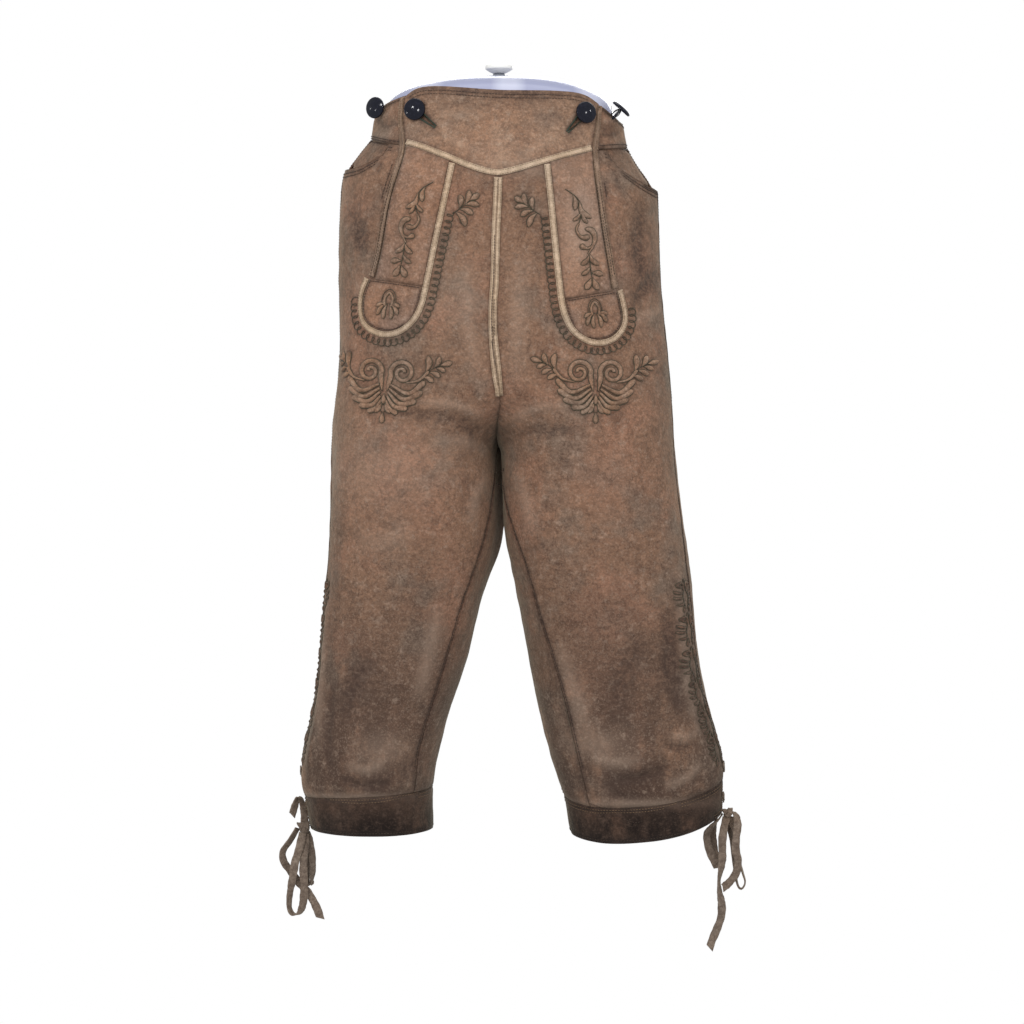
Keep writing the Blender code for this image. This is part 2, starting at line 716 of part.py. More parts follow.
def add_front(leg, leather):
    """A front: the flap's half inside the slit, the hip outside it, and the leg below."""
    hip_top = settle(HIP_EDGE_LINE[leg], lambda at: hip_angle(leg, at), -100.0)
    flap_z = panel_heights(leg, flap_top(leg)[0] - SEAM / 2, flap_angle)
    hip_z = panel_heights(leg, hip_top, hip_angle)
    flap_a = np.stack([flap_angle(leg, row) for row in flap_z])
    hip_a = np.stack([hip_angle(leg, row) for row in hip_z])
    below_mouth = np.maximum(hip_top[None, :] - hip_z, 0)
    in_mouth = smooth_step((hip_a - MOUTH_START[leg]) / 6.0) * smooth_step((93.0 - hip_a) / 12.0)
    gape = MOUTH_GAPE * np.exp(-((below_mouth / 14.0) ** 2)) * in_mouth
    flap_rise = flap_lift(leg, flap_z)

    flap_index = np.arange(flap_z.size).reshape(flap_z.shape)
    hip_index = np.arange(hip_z.size).reshape(hip_z.shape) + flap_z.size
    hip_index[UPPER_ROWS:, 0] = flap_index[UPPER_ROWS:, -1]
    both = np.concatenate([flap_index.ravel(), hip_index.ravel()])
    used, renumbered = np.unique(both, return_inverse=True)
    flap_index = renumbered[: flap_z.size].reshape(flap_z.shape)
    hip_index = renumbered[flap_z.size :].reshape(hip_z.shape)

    def sheet(depth):
        flap = shell(leg, flap_a, flap_z, flap_rise + depth).reshape(-1, 3)
        hip = shell(leg, hip_a, hip_z, gape + depth).reshape(-1, 3)
        return np.concatenate([flap, hip])[used]

    quads = grid_quads(flap_index) + grid_quads(hip_index)
    return add_wall(f"front_{leg}", quads, sheet(0.0), sheet(-WALL), leather)


def add_back(leg, leather):
    """A back: from the side seam to the centre seat seam, and to the inseam below it."""
    top = settle(lambda a: around(WAIST_SEAM[leg], a) - SEAM / 2, lambda at: back_angle(leg, at), -85.0)
    z = panel_heights(leg, top, back_angle)
    angle = np.stack([back_angle(leg, row) for row in z])
    return add_sheet(f"back_{leg}", shell(leg, angle, z), shell(leg, angle, z, -WALL), leather)


def add_waistband(leg, leather):
    """Half the waistband, from the centre front, under the bib, to the centre back."""
    share = np.linspace(0, 1, 25)
    middle = -70.0
    angle = mix(centre_angle(leg, middle), centre_angle(leg, middle, back=True), share)
    top = around(WAIST_TOP[leg], angle) + WAIST_RISE_LINE[leg](np.clip(angle, 0, 180))
    past_mouth = angle > MOUTH_START[leg] + 1.2
    seam = np.where(past_mouth, around(WAIST_SEAM[leg], angle), HIP_EDGE_LINE[leg](angle))
    seam = np.maximum(seam, around(WAIST_SEAM[leg], angle)) + SEAM / 2
    z = mix(top[None, :], seam[None, :], np.array([0, 0.35, 0.7, 1])[:, None])
    angle = np.broadcast_to(angle, z.shape)
    return add_sheet(f"waistband_{leg}", shell(leg, angle, z), shell(leg, angle, z, -WALL), leather)


def add_pocket(leg, leather):
    """The facing behind a pocket's mouth, tucked under the waistband, the front and the back."""
    angle = np.linspace(MOUTH_START[leg] - 5, SEAMS[leg]["side"](-110.0) + 1.2, 9)
    top = around(WAIST_SEAM[leg], angle) + 5
    bottom = np.minimum(HIP_EDGE_LINE[leg](angle), -108) - POCKET_REACH
    down = np.array([0, 0.12, 0.26, 0.44, 0.64, 0.82, 1])[:, None]
    z = mix(top[None, :], bottom[None, :], down)
    angle = np.broadcast_to(angle, z.shape)
    lift = -POCKET_UNDER - 1.2 * down
    outside, inside = shell(leg, angle, z, lift), shell(leg, angle, z, lift - POCKET_THICK)
    return add_sheet(f"pocket_facing_{leg}", outside, inside, leather)


def add_bib(leather, cutter_material):
    """The flap's stiff upper piece, with a worked buttonhole at each corner."""
    rows = 6
    low_x = np.concatenate([flap_top("left")[1][:0:-1], [0.0], flap_top("right")[1][1:]])
    share = (low_x - low_x[0]) / (low_x[-1] - low_x[0])
    high_x = mix(BIB_TOP[0].x, BIB_TOP[-1].x, share)
    bottom = np.stack([low_x, V_LINE(low_x) + SEAM / 2], axis=1)
    top = np.stack([high_x, BIB_TOP_LINE(high_x)], axis=1)
    down = np.linspace(0, 1, rows)
    sides = []
    for leg, k in (("left", 0), ("right", -1)):
        z = mix(top[k, 1], bottom[k, 1], down)
        x = SLIT_LINE[leg](z)
        x += (top[k, 0] - x[0]) * (1 - down) + (bottom[k, 0] - x[-1]) * down
        sides.append(np.stack([x, z], axis=1))
    grid = fill_outline(top, bottom, *sides)
    lift = FLAP_OVER
    outside = front_point(grid[..., 0], grid[..., 1], lift)
    inside = front_point(grid[..., 0], grid[..., 1], lift - WALL)
    bib = add_sheet("bib", outside, inside, leather)
    for hole in BUTTONHOLES:
        cutter = add_buttonhole_cutter(hole, cutter_material)
        cut = bib.modifiers.new(f"buttonhole_{hole.name}", "BOOLEAN")
        cut.operation = "DIFFERENCE"
        cut.object = cutter
    return bib


def add_buttonhole_cutter(hole, material):
    """A long wedge, wide where the shank sits and closing to the hole's end."""
    start, end = np.array([hole.x, hole.z]), np.array([hole.end_x, hole.end_z])
    along = (end - start) / np.linalg.norm(end - start)
    aside = np.array([-along[1], along[0]])
    wide, narrow, behind = 3.2, 0.7, 2.6
    outline = [start - along * behind + aside * 2.0, start + aside * wide, end + aside * narrow]
    outline += [end - aside * narrow, start - aside * wide, start - along * behind - aside * 2.0]
    outline = np.array(outline)
    outside = front_point(outline[:, 0], outline[:, 1], FLAP_OVER + 6)
    inside = front_point(outline[:, 0], outline[:, 1], FLAP_OVER - 7)
    count = len(outline)
    faces = [tuple(range(count)), tuple(reversed(range(count, 2 * count)))]
    faces += [(k, count + k, count + (k + 1) % count, (k + 1) % count) for k in range(count)]
    cutter = add_solid(f"buttonhole_cutter_{hole.name}", np.concatenate([outside, inside]), faces, material)
    cutter.hide_render = True
    cutter.display_type = "WIRE"
    return cutter


def add_tongue(leg, leather):
    """The ornamental tongue between the slit and the light binding, from the bib's seam to the patch."""
    way = OUTWARD[leg]
    clear = BINDING_WIDTH / 2 + SEAM
    columns, rows = 7, 11
    inner = beside(smooth_path(TONGUE_EDGE[leg], rows), clear * way)
    slit_z = np.linspace(V_LINE(SLIT[leg][3].x) - clear, SLIT[leg][-1].z, rows)
    outer = np.stack([SLIT_LINE[leg](slit_z) - way * (FLAP_EDGE_WIDTH / 2 + 1.0), slit_z], axis=1)
    foot = patch_top(leg, 61) + (0, SEAM)
    clear_of_edge = way * (SLIT_LINE[leg](foot[:, 1]) - foot[:, 0]) > FLAP_EDGE_WIDTH / 2 + 1.0
    corner = foot[clear_of_edge][-1]
    outer[-1], inner[-1] = corner, foot[0]
    top_x = np.linspace(inner[0, 0], outer[0, 0], columns)
    top = np.stack([top_x, V_LINE(top_x) - clear - 0.4], axis=1)
    inner[0], outer[0] = top[0], top[-1]
    bottom = mix(foot[0], corner, np.linspace(0, 1, columns)[:, None])
    grid = fill_outline(top, bottom, inner, outer)
    outside = on_flap(grid[..., 0], grid[..., 1], LIFT + PATCH_THICK)
    inside = on_flap(grid[..., 0], grid[..., 1], LIFT)
    return add_sheet(f"tongue_{leg}", outside, inside, leather)


def patch_loop(leg, count):
    """The patch's rounded edge, just inside its binding."""
    clear = BINDING_WIDTH / 2 + SEAM
    return beside(smooth_path(PATCH_EDGE[leg], count), clear * OUTWARD[leg])


def patch_top(leg, count):
    """The patch's straight upper edge, from the inner side to the slit."""
    loop = patch_loop(leg, 41)
    return mix(loop[0], loop[-1], np.linspace(0, 1, count)[:, None])


def add_patch(leg, leather):
    """The patch that closes the tongue's foot; its rounded edge makes three sides of its grid."""
    columns, rows = 7, 8
    dense = patch_loop(leg, 241)
    third = np.array([0.0, 0.32, 0.72, 1.0]) * 240
    counts = (rows, columns, rows)
    stretch = [dense[np.linspace(third[k], third[k + 1], counts[k]).astype(int)] for k in range(3)]
    grid = fill_outline(patch_top(leg, columns), stretch[1], stretch[0], stretch[2][::-1])
    outside = on_flap(grid[..., 0], grid[..., 1], LIFT + PATCH_THICK)
    inside = on_flap(grid[..., 0], grid[..., 1], LIFT)
    return add_sheet(f"patch_{leg}", outside, inside, leather)


def add_bindings(light, brown):
    """The light bindings along the bib's V, the centre front and the tongues, and the flap's edges."""
    v_x = np.linspace(SLIT_LINE["left"](-95.0) + 4.5, SLIT_LINE["right"](-98.0) - 4.5, 31)
    add_front_strip("binding_v", np.stack([v_x, V_LINE(v_x)], axis=1), BINDING_WIDTH, TRIM, light)
    for leg in LEGS:
        whole = smooth_path(TONGUE_EDGE[leg] + PATCH_EDGE[leg][1:], 40)
        add_front_strip(f"binding_tongue_{leg}", whole, BINDING_WIDTH, TRIM + 0.6, light)

        fly_z = np.linspace(V_LINE(0.0) - BINDING_WIDTH / 2 - 1.6, -350, 20)
        off_seam = FLY_BINDING_WIDTH / 2 + 0.7 + 1.6 * crotch_share(fly_z, FLY_CURVE_Z)
        middle = step_round(leg, centre_angle(leg, fly_z), fly_z, off_seam)
        rise = LIFT + flap_lift(leg, fly_z)
        path = shell(leg, middle, fly_z, rise)
        face = shell_normal(leg, middle, fly_z)
        across = np.cross(face, np.gradient(path, axis=0))
        add_strap(f"binding_fly_{leg}", path, across, FLY_BINDING_WIDTH, TRIM, light, face)

        slit = smooth_path(SLIT[leg], 33)
        add_front_strip(f"flap_edge_{leg}", slit, FLAP_EDGE_WIDTH, TRIM, brown)


def add_knee_band(leg, leather):
    """A knee band, round the leg from one side of the vent to the other."""
    low_z = LOWER_ROWS_Z[-1]
    front = np.concatenate([flap_angle(leg, low_z), hip_angle(leg, low_z)[1:]])
    angle = np.concatenate([back_angle(leg, low_z)[:-1], front + 360])
    top, hem = around(BAND_TOP[leg], angle) - SEAM, around(BAND_HEM[leg], angle)
    z = mix(top[None, :], hem[None, :], np.linspace(0, 1, 4)[:, None])
    angle = np.broadcast_to(angle, z.shape)
    return add_sheet(f"knee_band_{leg}", shell(leg, angle, z), shell(leg, angle, z, -BAND_WALL), leather)


# ---- Buttons ----
# A button's foot is where its shank meets the leather. It faces (face_x, face_y, face_z).
Button = namedtuple("Button", "name x z lift shank face_x face_y face_z")
BUTTONS = [
    Button("front_left", -84.3, -58.2, 0.3, 5.0, -0.25, -0.96, 0.04),
    Button("front_right", 86.6, -61.4, 0.3, 5.0, 0.42, -0.90, 0.08),
    Button("hip_left", -121.8, -51.5, 0.8, 8.5, -0.56, -0.82, 0.02),
    Button("hip_right", 116.2, -64.0, 1.2, 12.4, 0.66, -0.12, 0.74),
]
Buttonhole = namedtuple("Buttonhole", "name x z end_x end_z")
BUTTONHOLES = [
    Buttonhole("left", -85.5, -57.5, -65.4, -75.8),
    Buttonhole("right", 88.5, -60.0, 71.2, -80.4),
]
BUTTON_RADIUS = 11.5
BUTTON_EDGE = 2.4
BUTTON_DOME = 2.6
SHANK_RADIUS = 1.5


def button_profile(shank):
    """A domed button and the stem behind it, from the stem's end to the top of the dome."""
    profile = [(SHANK_RADIUS, 0.0), (SHANK_RADIUS, shank), (BUTTON_RADIUS - 1.0, shank)]
    profile += [(BUTTON_RADIUS, shank + 0.9), (BUTTON_RADIUS, shank + BUTTON_EDGE - 0.6)]
    for degrees in (16, 36, 56, 76):
        t = math.radians(degrees)
        height = shank + BUTTON_EDGE - 0.6 + (BUTTON_DOME + 0.6) * math.sin(t)
        profile.append((BUTTON_RADIUS * math.cos(t) ** 0.8, height))
    return profile


def add_buttons(black):
    for button in BUTTONS:
        foot = front_point(button.x, button.z, button.lift)
        facing = (button.face_x, button.face_y, button.face_z)
        add_turned(f"button_{button.name}", button_profile(button.shank), foot, facing, black)


# ---- Knee laces ----
# A lace is a flat strip. turn is the direction, in degrees from X towards Y, of its width.
LacePoint = namedtuple("LacePoint", "x y z turn")
LACE_WIDTH = 8.4
LACE_THICK = 1.5
LACES = {
    "lace_left_long_loop": [
        LacePoint(-205.5, -7.0, -805.35, 8),
        LacePoint(-208.5, -11, -820, 5),
        LacePoint(-213, -14, -835, 5),
        LacePoint(-216, -13, -852, 20),
        LacePoint(-219.5, -11, -870, 50),
        LacePoint(-220, -9, -884, 60),
        LacePoint(-216, -8, -891, 60),
        LacePoint(-209, -9, -890, 50),
        LacePoint(-205, -11, -880, 20),
        LacePoint(-203.5, -13, -862, 5),
        LacePoint(-204.5, -14, -844, 0),
        LacePoint(-204, -12, -828, 5),
        LacePoint(-203, -8.5, -815, 5),
        LacePoint(-202.8, -5.4, -805.6, 8),
    ],
    "lace_left_short_loop": [
        LacePoint(-202.0, -1.2, -805.9, 8),
        LacePoint(-198.5, -0.5, -818, 30),
        LacePoint(-196.5, 0, -832, 40),
        LacePoint(-196, 1, -846, 55),
        LacePoint(-198, 4, -858, 80),
        LacePoint(-200, 10, -858, 85),
        LacePoint(-199.5, 12, -846, 70),
        LacePoint(-199, 9, -828, 55),
        LacePoint(-200.5, 4, -814, 35),
        LacePoint(-202.4, 0.6, -805.9, 8),
    ],
    "lace_left_tail": [
        LacePoint(-211.7, -3.5, -800.5, 80),
        LacePoint(-219, -3, -813, 50),
        LacePoint(-227, -3, -825, 40),
        LacePoint(-226, -4, -836, 35),
        LacePoint(-219, -4, -846, 25),
        LacePoint(-211, -4, -857, 15),
        LacePoint(-203, -4.5, -865, 0),
        LacePoint(-196, -6, -874, -10),
        LacePoint(-190.5, -7, -885, 0),
        LacePoint(-187, -8, -895, 5),
    ],
    "lace_left_end": [
        LacePoint(-205.0, -5, -777, 80),
        LacePoint(-207.5, -5.5, -770, 80),
        LacePoint(-211, -6, -768.5, 75),
        LacePoint(-214, -6.5, -776, 60),
        LacePoint(-217, -7, -787, 50),
    ],
    "lace_right_tail_long": [
        LacePoint(238.3, -6.8, -789.35, 10),
        LacePoint(235.5, -10, -800, 5),
        LacePoint(233.5, -14, -813, 0),
        LacePoint(233.5, -14, -828, 5),
        LacePoint(232.5, -12, -839, 30),
        LacePoint(230.5, -11, -849, 60),
        LacePoint(229.5, -10, -857, 70),
        LacePoint(230.5, -9, -868, 50),
        LacePoint(233, -9, -880, 10),
        LacePoint(232.5, -9, -893, 5),
        LacePoint(228, -9, -906, 5),
        LacePoint(223, -9, -918, 0),
        LacePoint(220.5, -9, -926, 0),
    ],
    "lace_right_tail_short": [
        LacePoint(245.2, -6, -784, 70),
        LacePoint(248.5, -9, -789, 40),
        LacePoint(249.5, -11, -798, 15),
        LacePoint(248, -12, -810, 10),
        LacePoint(247.5, -12, -823, 10),
        LacePoint(250, -11, -834, 15),
        LacePoint(248, -10, -847, 10),
        LacePoint(241, -10, -857, 0),
        LacePoint(234.5, -10.5, -863, -20),
    ],
    "lace_right_loop": [
        LacePoint(233.8, -4, -785.4, 88),
        LacePoint(229.5, -3.6, -791.5, 75),
        LacePoint(222.5, -3.6, -798.5, 50),
        LacePoint(218, -4, -806, 30),
        LacePoint(218, -5, -815, 20),
        LacePoint(222, -5, -828, 15),
        LacePoint(227, -4, -838, 10),
        LacePoint(229.5, 0, -842, 10),
        LacePoint(229, 4, -836, 10),
        LacePoint(226, 5, -820, 20),
        LacePoint(226, 7, -806, 40),
        LacePoint(229.5, 8.5, -793, 75),
        LacePoint(232.0, 9.5, -786.5, 90),
    ],
    "lace_right_small_loop": [
        LacePoint(242.2, -4.2, -789.9, 12),
        LacePoint(247, -1, -805, 60),
        LacePoint(250, 0, -830, 70),
        LacePoint(255, -1, -848, 80),
        LacePoint(257.5, -2, -858, 85),
        LacePoint(254, -2, -864, 85),
        LacePoint(250.5, -1, -858, 80),
        LacePoint(248, 3, -840, 70),
        LacePoint(245, 3, -812, 60),
        LacePoint(241.4, -2.0, -789.9, 12),
    ],
}
Knot = namedtuple("Knot", "name x y z radius tall")
KNOTS = [Knot("knot_left", -204.0, -4, -800, 6.0, 5.0), Knot("knot_right", 239.9, -4, -785.0, 5.0, 4.0)]
KNOT_SHAPE = [(0.72, -1.0), (0.95, -0.6), (1.0, 0.0), (0.95, 0.6), (0.72, 1.0)]  # shares of radius and tall


def add_laces(leather):
    """The knee laces' loops and free ends, each from its knot, and a crossing over each vent."""
    for name, points in LACES.items():
        length = sum(math.dist(a[:3], b[:3]) for a, b in zip(points, points[1:]))
        rows = smooth_path(points, max(8, round(length / 8)))
        turn = np.radians(rows[:, 3])
        across = np.stack([np.cos(turn), np.sin(turn), np.zeros_like(turn)], axis=1)
        add_strap(name, rows[:, :3], across, LACE_WIDTH, LACE_THICK, leather)
    for knot in KNOTS:
        profile = [(knot.radius * wide, knot.tall * high) for wide, high in KNOT_SHAPE]
        add_turned(knot.name, profile, (knot.x, knot.y, knot.z), (0, 0, 1), leather, segments=12)
    for leg, heights in (("left", (-741, -779)), ("right", (-736, -768))):
        for number, z in enumerate(heights, 1):
            reach = 11.0
            side = SEAMS[leg]["side"](z)
            angle = np.linspace(step_round(leg, side, z, -reach), step_round(leg, side, z, reach), 9)
            height = z + np.linspace(4, -4, 9)
            path = shell(leg, angle, height, LIFT)
            face = shell_normal(leg, angle, height)
            across = np.cross(face, np.gradient(path, axis=0))
            add_strap(f"vent_lace_{leg}_{number}", path, across, 6.0, LACE_THICK, leather, face)


# ---- The hip form ----
FORM_INSET = 6.8
FormRing = namedtuple("FormRing", "z share")
FORM_TOP = [
    FormRing(-17.8, 0.09),
    FormRing(-16.4, 0.20),
    FormRing(-15.3, 0.35),
    FormRing(-16.8, 0.48),
    FormRing(-20.0, 0.62),
    FormRing(-25.0, 0.75),
    FormRing(-33.0, 0.88),
    FormRing(-42.0, 0.96),
]
FORM_BODY_Z = (-54, -66, -78, -88, -98, -110, -126, -150, -190, -230, -262, -290)
FORM_FOOT = [FormRing(-312, 0.90), FormRing(-330, 0.72), FormRing(-340, 0.50), FormRing(-344, 0.22)]
STUD_RADIUS = 7.3
KNOB_HEIGHT = 9.0
STUD_FOOT_Z = -17.5
KNOB_PROFILE = [(6.4, -9.0), (10.5, -7.2), (14.3, -4.6), (14.7, -3.0), (14.0, -0.9), (12.6, 0.0)]


def form_ring(z, columns):
    """A ring of the form: the garment's ring, moved in."""
    half = {}
    for leg in LEGS:
        ends = centre_angle(leg, z), centre_angle(leg, z, back=True)
        half[leg] = shell(leg, np.linspace(*ends, columns // 2 + 1), z, -FORM_INSET)
    half["right"][[0, -1], 0] = 0.0
    return np.concatenate([half["right"], half["left"][1:-1][::-1]])


def closing_ring(row, z, columns):
    """A level ring where the form closes: the ring at z, drawn to its middle."""
    middle = np.array([0.0, 3.0, row.z])
    return middle + (form_ring(z, columns) - middle) * (row.share, row.share, 0.0)


def add_form(plastic, chrome, cap):
    """The smooth limbless hip form, the stud that carries it and the knob on the stud."""
    columns = 30
    rings = [closing_ring(row, FORM_BODY_Z[0], columns) for row in FORM_TOP]
    rings += [form_ring(z, columns) for z in FORM_BODY_Z]
    rings += [closing_ring(row, FORM_BODY_Z[-1], columns) for row in FORM_FOOT]
    indices = np.arange(len(rings) * columns).reshape(len(rings), columns)
    faces = grid_quads(indices, wrap=True) + [tuple(indices[0]), tuple(reversed(indices[-1]))]
    add_solid("hip_form", np.concatenate(rings), faces, plastic)
    top = -KNOB_HEIGHT - SEAM
    stud = [(STUD_RADIUS, STUD_FOOT_Z), (STUD_RADIUS, top - 2), (STUD_RADIUS - 1.2, top)]
    add_turned("stud", stud, (0, 0, 0), (0, 0, 1), chrome, segments=24)
    add_turned("knob", KNOB_PROFILE, (0, 0, 0), (0, 0, 1), cap, segments=28)


def main():
    for thing in list(bpy.data.objects):
        bpy.data.objects.remove(thing, do_unlink=True)
    suede = add_material("brown suede", (0.262, 0.155, 0.100), 0.9)
    dark_suede = add_material("dark worn suede", (0.105, 0.065, 0.045), 0.85)
    ochre_suede = add_material("ochre suede", (0.330, 0.190, 0.110), 0.9)
    light = add_material("light chamois binding", (0.480, 0.340, 0.210), 0.85)
    strap = add_material("grey-brown lace leather", (0.190, 0.135, 0.100), 0.8)
    horn = add_material("black horn", (0.012, 0.012, 0.015), 0.18)
    plastic = add_material("pearl plastic", (0.52, 0.53, 0.62), 0.25)
    chrome = add_material("chrome", (0.75, 0.77, 0.80), 0.12, 1.0)
    cap = add_material("white plastic", (0.80, 0.80, 0.78), 0.4)

    for leg in LEGS:
        add_front(leg, suede)
        add_back(leg, suede)
        add_waistband(leg, suede)
        add_pocket(leg, suede)
        add_tongue(leg, suede)
        add_patch(leg, ochre_suede)
        add_knee_band(leg, dark_suede)
    add_bib(suede, light)
    add_bindings(light, suede)
    add_buttons(horn)
    add_laces(strap)
    add_form(plastic, chrome, cap)


main()
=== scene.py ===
# %% [markdown]
# # Knee-length leather breeches on a hanging hip form
#
# The real piece is a pair of old suede lederhosen: two fronts and two backs, a flap that buttons up to
# the waistband, light bindings, stitched ornament, and knee bands that are laced at the side. It was cut
# from deerskin or goatskin, sewn by hand and machine, and worn for years, so nothing on it is flat or even.
#
# The construction is already solid geometry. This script loads it as a fixed frame and makes what the eye
# sees: fine leather, creases, stitches, raised ornament, laces and finishes. A simple way would be a new
# material on each solid. The leather would then look like folded card, so each cloth solid is refined.

# %% Tools, and the frame
import math
from collections import namedtuple

import bmesh
import bpy
import numpy as np
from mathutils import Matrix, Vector
from mathutils.bvhtree import BVHTree
from mathutils.kdtree import KDTree


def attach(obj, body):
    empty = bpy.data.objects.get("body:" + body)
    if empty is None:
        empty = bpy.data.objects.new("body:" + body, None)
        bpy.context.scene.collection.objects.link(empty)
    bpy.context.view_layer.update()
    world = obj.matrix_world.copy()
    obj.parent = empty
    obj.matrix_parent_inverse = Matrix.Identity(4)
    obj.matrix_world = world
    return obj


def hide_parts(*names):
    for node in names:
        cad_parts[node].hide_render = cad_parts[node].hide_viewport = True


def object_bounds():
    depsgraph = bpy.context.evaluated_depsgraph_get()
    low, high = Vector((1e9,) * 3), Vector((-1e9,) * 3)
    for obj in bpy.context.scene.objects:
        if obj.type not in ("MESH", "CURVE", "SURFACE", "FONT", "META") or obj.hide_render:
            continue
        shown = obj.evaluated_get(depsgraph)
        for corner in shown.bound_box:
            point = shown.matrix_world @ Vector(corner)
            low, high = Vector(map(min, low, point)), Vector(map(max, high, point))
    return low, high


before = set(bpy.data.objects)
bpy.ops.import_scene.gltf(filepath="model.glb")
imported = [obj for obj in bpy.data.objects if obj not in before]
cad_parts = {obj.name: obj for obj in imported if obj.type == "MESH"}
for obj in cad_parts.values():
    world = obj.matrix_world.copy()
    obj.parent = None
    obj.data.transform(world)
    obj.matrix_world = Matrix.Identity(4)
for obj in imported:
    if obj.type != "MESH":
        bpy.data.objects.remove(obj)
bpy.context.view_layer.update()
MM = 0.001
LEGS = ("left", "right")  # the viewer's
PAINTED = ("soil_and_shade", "warm", "pale")  # what each leather mesh stores for its material
print("frame loaded:", len(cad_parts), "pieces")

# %% [markdown]
# ## The camera
#
# A garment for sale is shown from far away through a long lens, so that its sides stay parallel. The
# camera stands 3.2 m in front and looks straight ahead, and its frame takes in a little over a metre at
# the garment.

# %% Camera
VIEW_WIDE = 1.0752  # metres across at the garment's middle plane
VIEW_FAR = 3.2
SENSOR = 36.0
VIEW_MIDDLE = (0.01365, -VIEW_FAR, -0.46935)

camera_data = bpy.data.cameras.new("camera")
camera_data.sensor_width = SENSOR
camera_data.lens = SENSOR * VIEW_FAR / VIEW_WIDE
camera = bpy.data.objects.new("camera", camera_data)
camera.location = VIEW_MIDDLE
camera.rotation_euler = (math.pi / 2, 0, 0)
bpy.context.collection.objects.link(camera)
bpy.context.scene.camera = camera
print("camera lens:", round(camera_data.lens, 1), "mm")

# %% [markdown]
# ## Nodes and colours
#
# Every finish below is made of shader nodes. Small functions add a node, set it up and link it. Colours
# are written as on a paint card, in hex, and turned to the linear values that a renderer works with.


# %% Helpers for materials
def linear(code):
    """A hex colour in linear light."""
    parts = [int(code[k : k + 2], 16) / 255 for k in (1, 3, 5)]
    return tuple(c / 12.92 if c <= 0.04045 else ((c + 0.055) / 1.055) ** 2.4 for c in parts) + (1.0,)


def plug(tree, node, inputs):
    """Gives each socket, by name or number, its value or what links to it."""
    for socket, value in inputs.items():
        if isinstance(value, bpy.types.NodeSocket):
            tree.links.new(value, node.inputs[socket])
        else:
            node.inputs[socket].default_value = value


def add(tree, kind, inputs, **settings):
    """Adds a node, sets it up and plugs its inputs."""
    node = tree.nodes.new("ShaderNode" + kind)
    for name, value in settings.items():
        setattr(node, name, value)
    plug(tree, node, inputs)
    return node


def maths(tree, operation, *terms):
    return add(tree, "Math", dict(enumerate(terms)), operation=operation).outputs[0]


def remap(tree, value, limits, way="LINEAR"):
    """A value carried over from one pair of limits to another, 0 and 1 unless they are given."""
    return add(tree, "MapRange", {"Value": value} | limits, interpolation_type=way).outputs[0]


def own_place(tree):
    """The place of each point of a piece, in metres."""
    return add(tree, "TexCoord", {}).outputs["Object"]


def new_material(name):
    material = bpy.data.materials.new(name)
    material.use_nodes = True
    return material, material.node_tree, material.node_tree.nodes["Principled BSDF"]


print("mid brown in linear light:", [round(c, 3) for c in linear("#8C6E5A")])

# %% [markdown]
# ## Suede
#
# Suede is the split or flesh side of a hide, ground to a nap. Light enters between its fibres, so it has
# no highlight: its roughness is near 1, its IOR is that of collagen, about 1.5, and a faint sheen shows
# where the nap is seen edge on. Its colour is never even. Body and hand leave dark greasy clouds, rubbing
# brings out orange and grey, and small fibres and pores make a grain of 0.5 to 3 mm.
#
# All of that is drawn from the place of each point in metres, so it needs no unwrapping. Three painted
# values come with each leather mesh: soil near seams, with painted shade in the troughs of creases, beside
# thread and in the crotch; warm and pale where it is rubbed, and pale also on the ridges of creases.


# %% Patterns in leather
ROUND_PATCHES = (1, 1, 1)


def noise_of(tree, place, size_mm, stretch, detail, rough, distortion=0.0):
    shaped = add(tree, "Mapping", {"Vector": place, "Scale": stretch}).outputs[0]
    inputs = {"Vector": shaped, "Scale": 1000 / size_mm, "Detail": detail, "Roughness": rough}
    return add(tree, "TexNoise", inputs | {"Distortion": distortion}).outputs[0]


def clouds(tree, place, size_mm, detail, rough, low, high, stretch=ROUND_PATCHES):
    """Soft noise of a size, as a number that runs from 0 at low to 1 at high."""
    noise = noise_of(tree, place, size_mm, stretch, detail, rough)
    return remap(tree, noise, {"From Min": low, "From Max": high}, "SMOOTHSTEP")


def blend_colour(tree, share, a, b):
    return add(tree, "Mix", {0: share, 6: a, 7: b}, data_type="RGBA").outputs[2]


def product(tree, a, b):
    return maths(tree, "MULTIPLY", a, b)


def flecks(tree, place, gap_mm, size, share):
    """Round marks of a size, about a gap apart. share says how many of them there are."""
    cells = add(tree, "TexVoronoi", {"Vector": place, "Scale": 1000 / gap_mm, "Randomness": 1.0})
    mark = remap(tree, cells.outputs["Distance"], {"From Min": size, "From Max": size * 0.4})
    chance = add(tree, "SeparateColor", {0: cells.outputs["Color"]}).outputs[0]
    return product(tree, mark, maths(tree, "LESS_THAN", chance, share))


def wrinkles(tree, place, size_mm, width, stretch):
    """Fine wandering lines: where a soft noise passes through its middle value."""
    noise = noise_of(tree, place, size_mm, stretch, 6, 0.62, 0.4)
    away = maths(tree, "ABSOLUTE", maths(tree, "SUBTRACT", noise, 0.5))
    return remap(tree, away, {"From Min": width, "From Max": 0.0})


def grime(tree, place, top, foot):
    """Grows from a height down to another, in upright streaks."""
    height = add(tree, "SeparateXYZ", {0: place}).outputs[2]
    low = remap(tree, height, {"From Min": top, "From Max": foot}, "SMOOTHSTEP")
    return product(tree, low, clouds(tree, place, 55, 6, 0.7, 0.30, 0.58, (1, 1, 0.45)))


# %% [markdown]
# The suede lays these patterns over its base colour one by one, each with a share and a colour of its own,
# and ends with four sizes of bumps, from slack in the hide down to its nap.

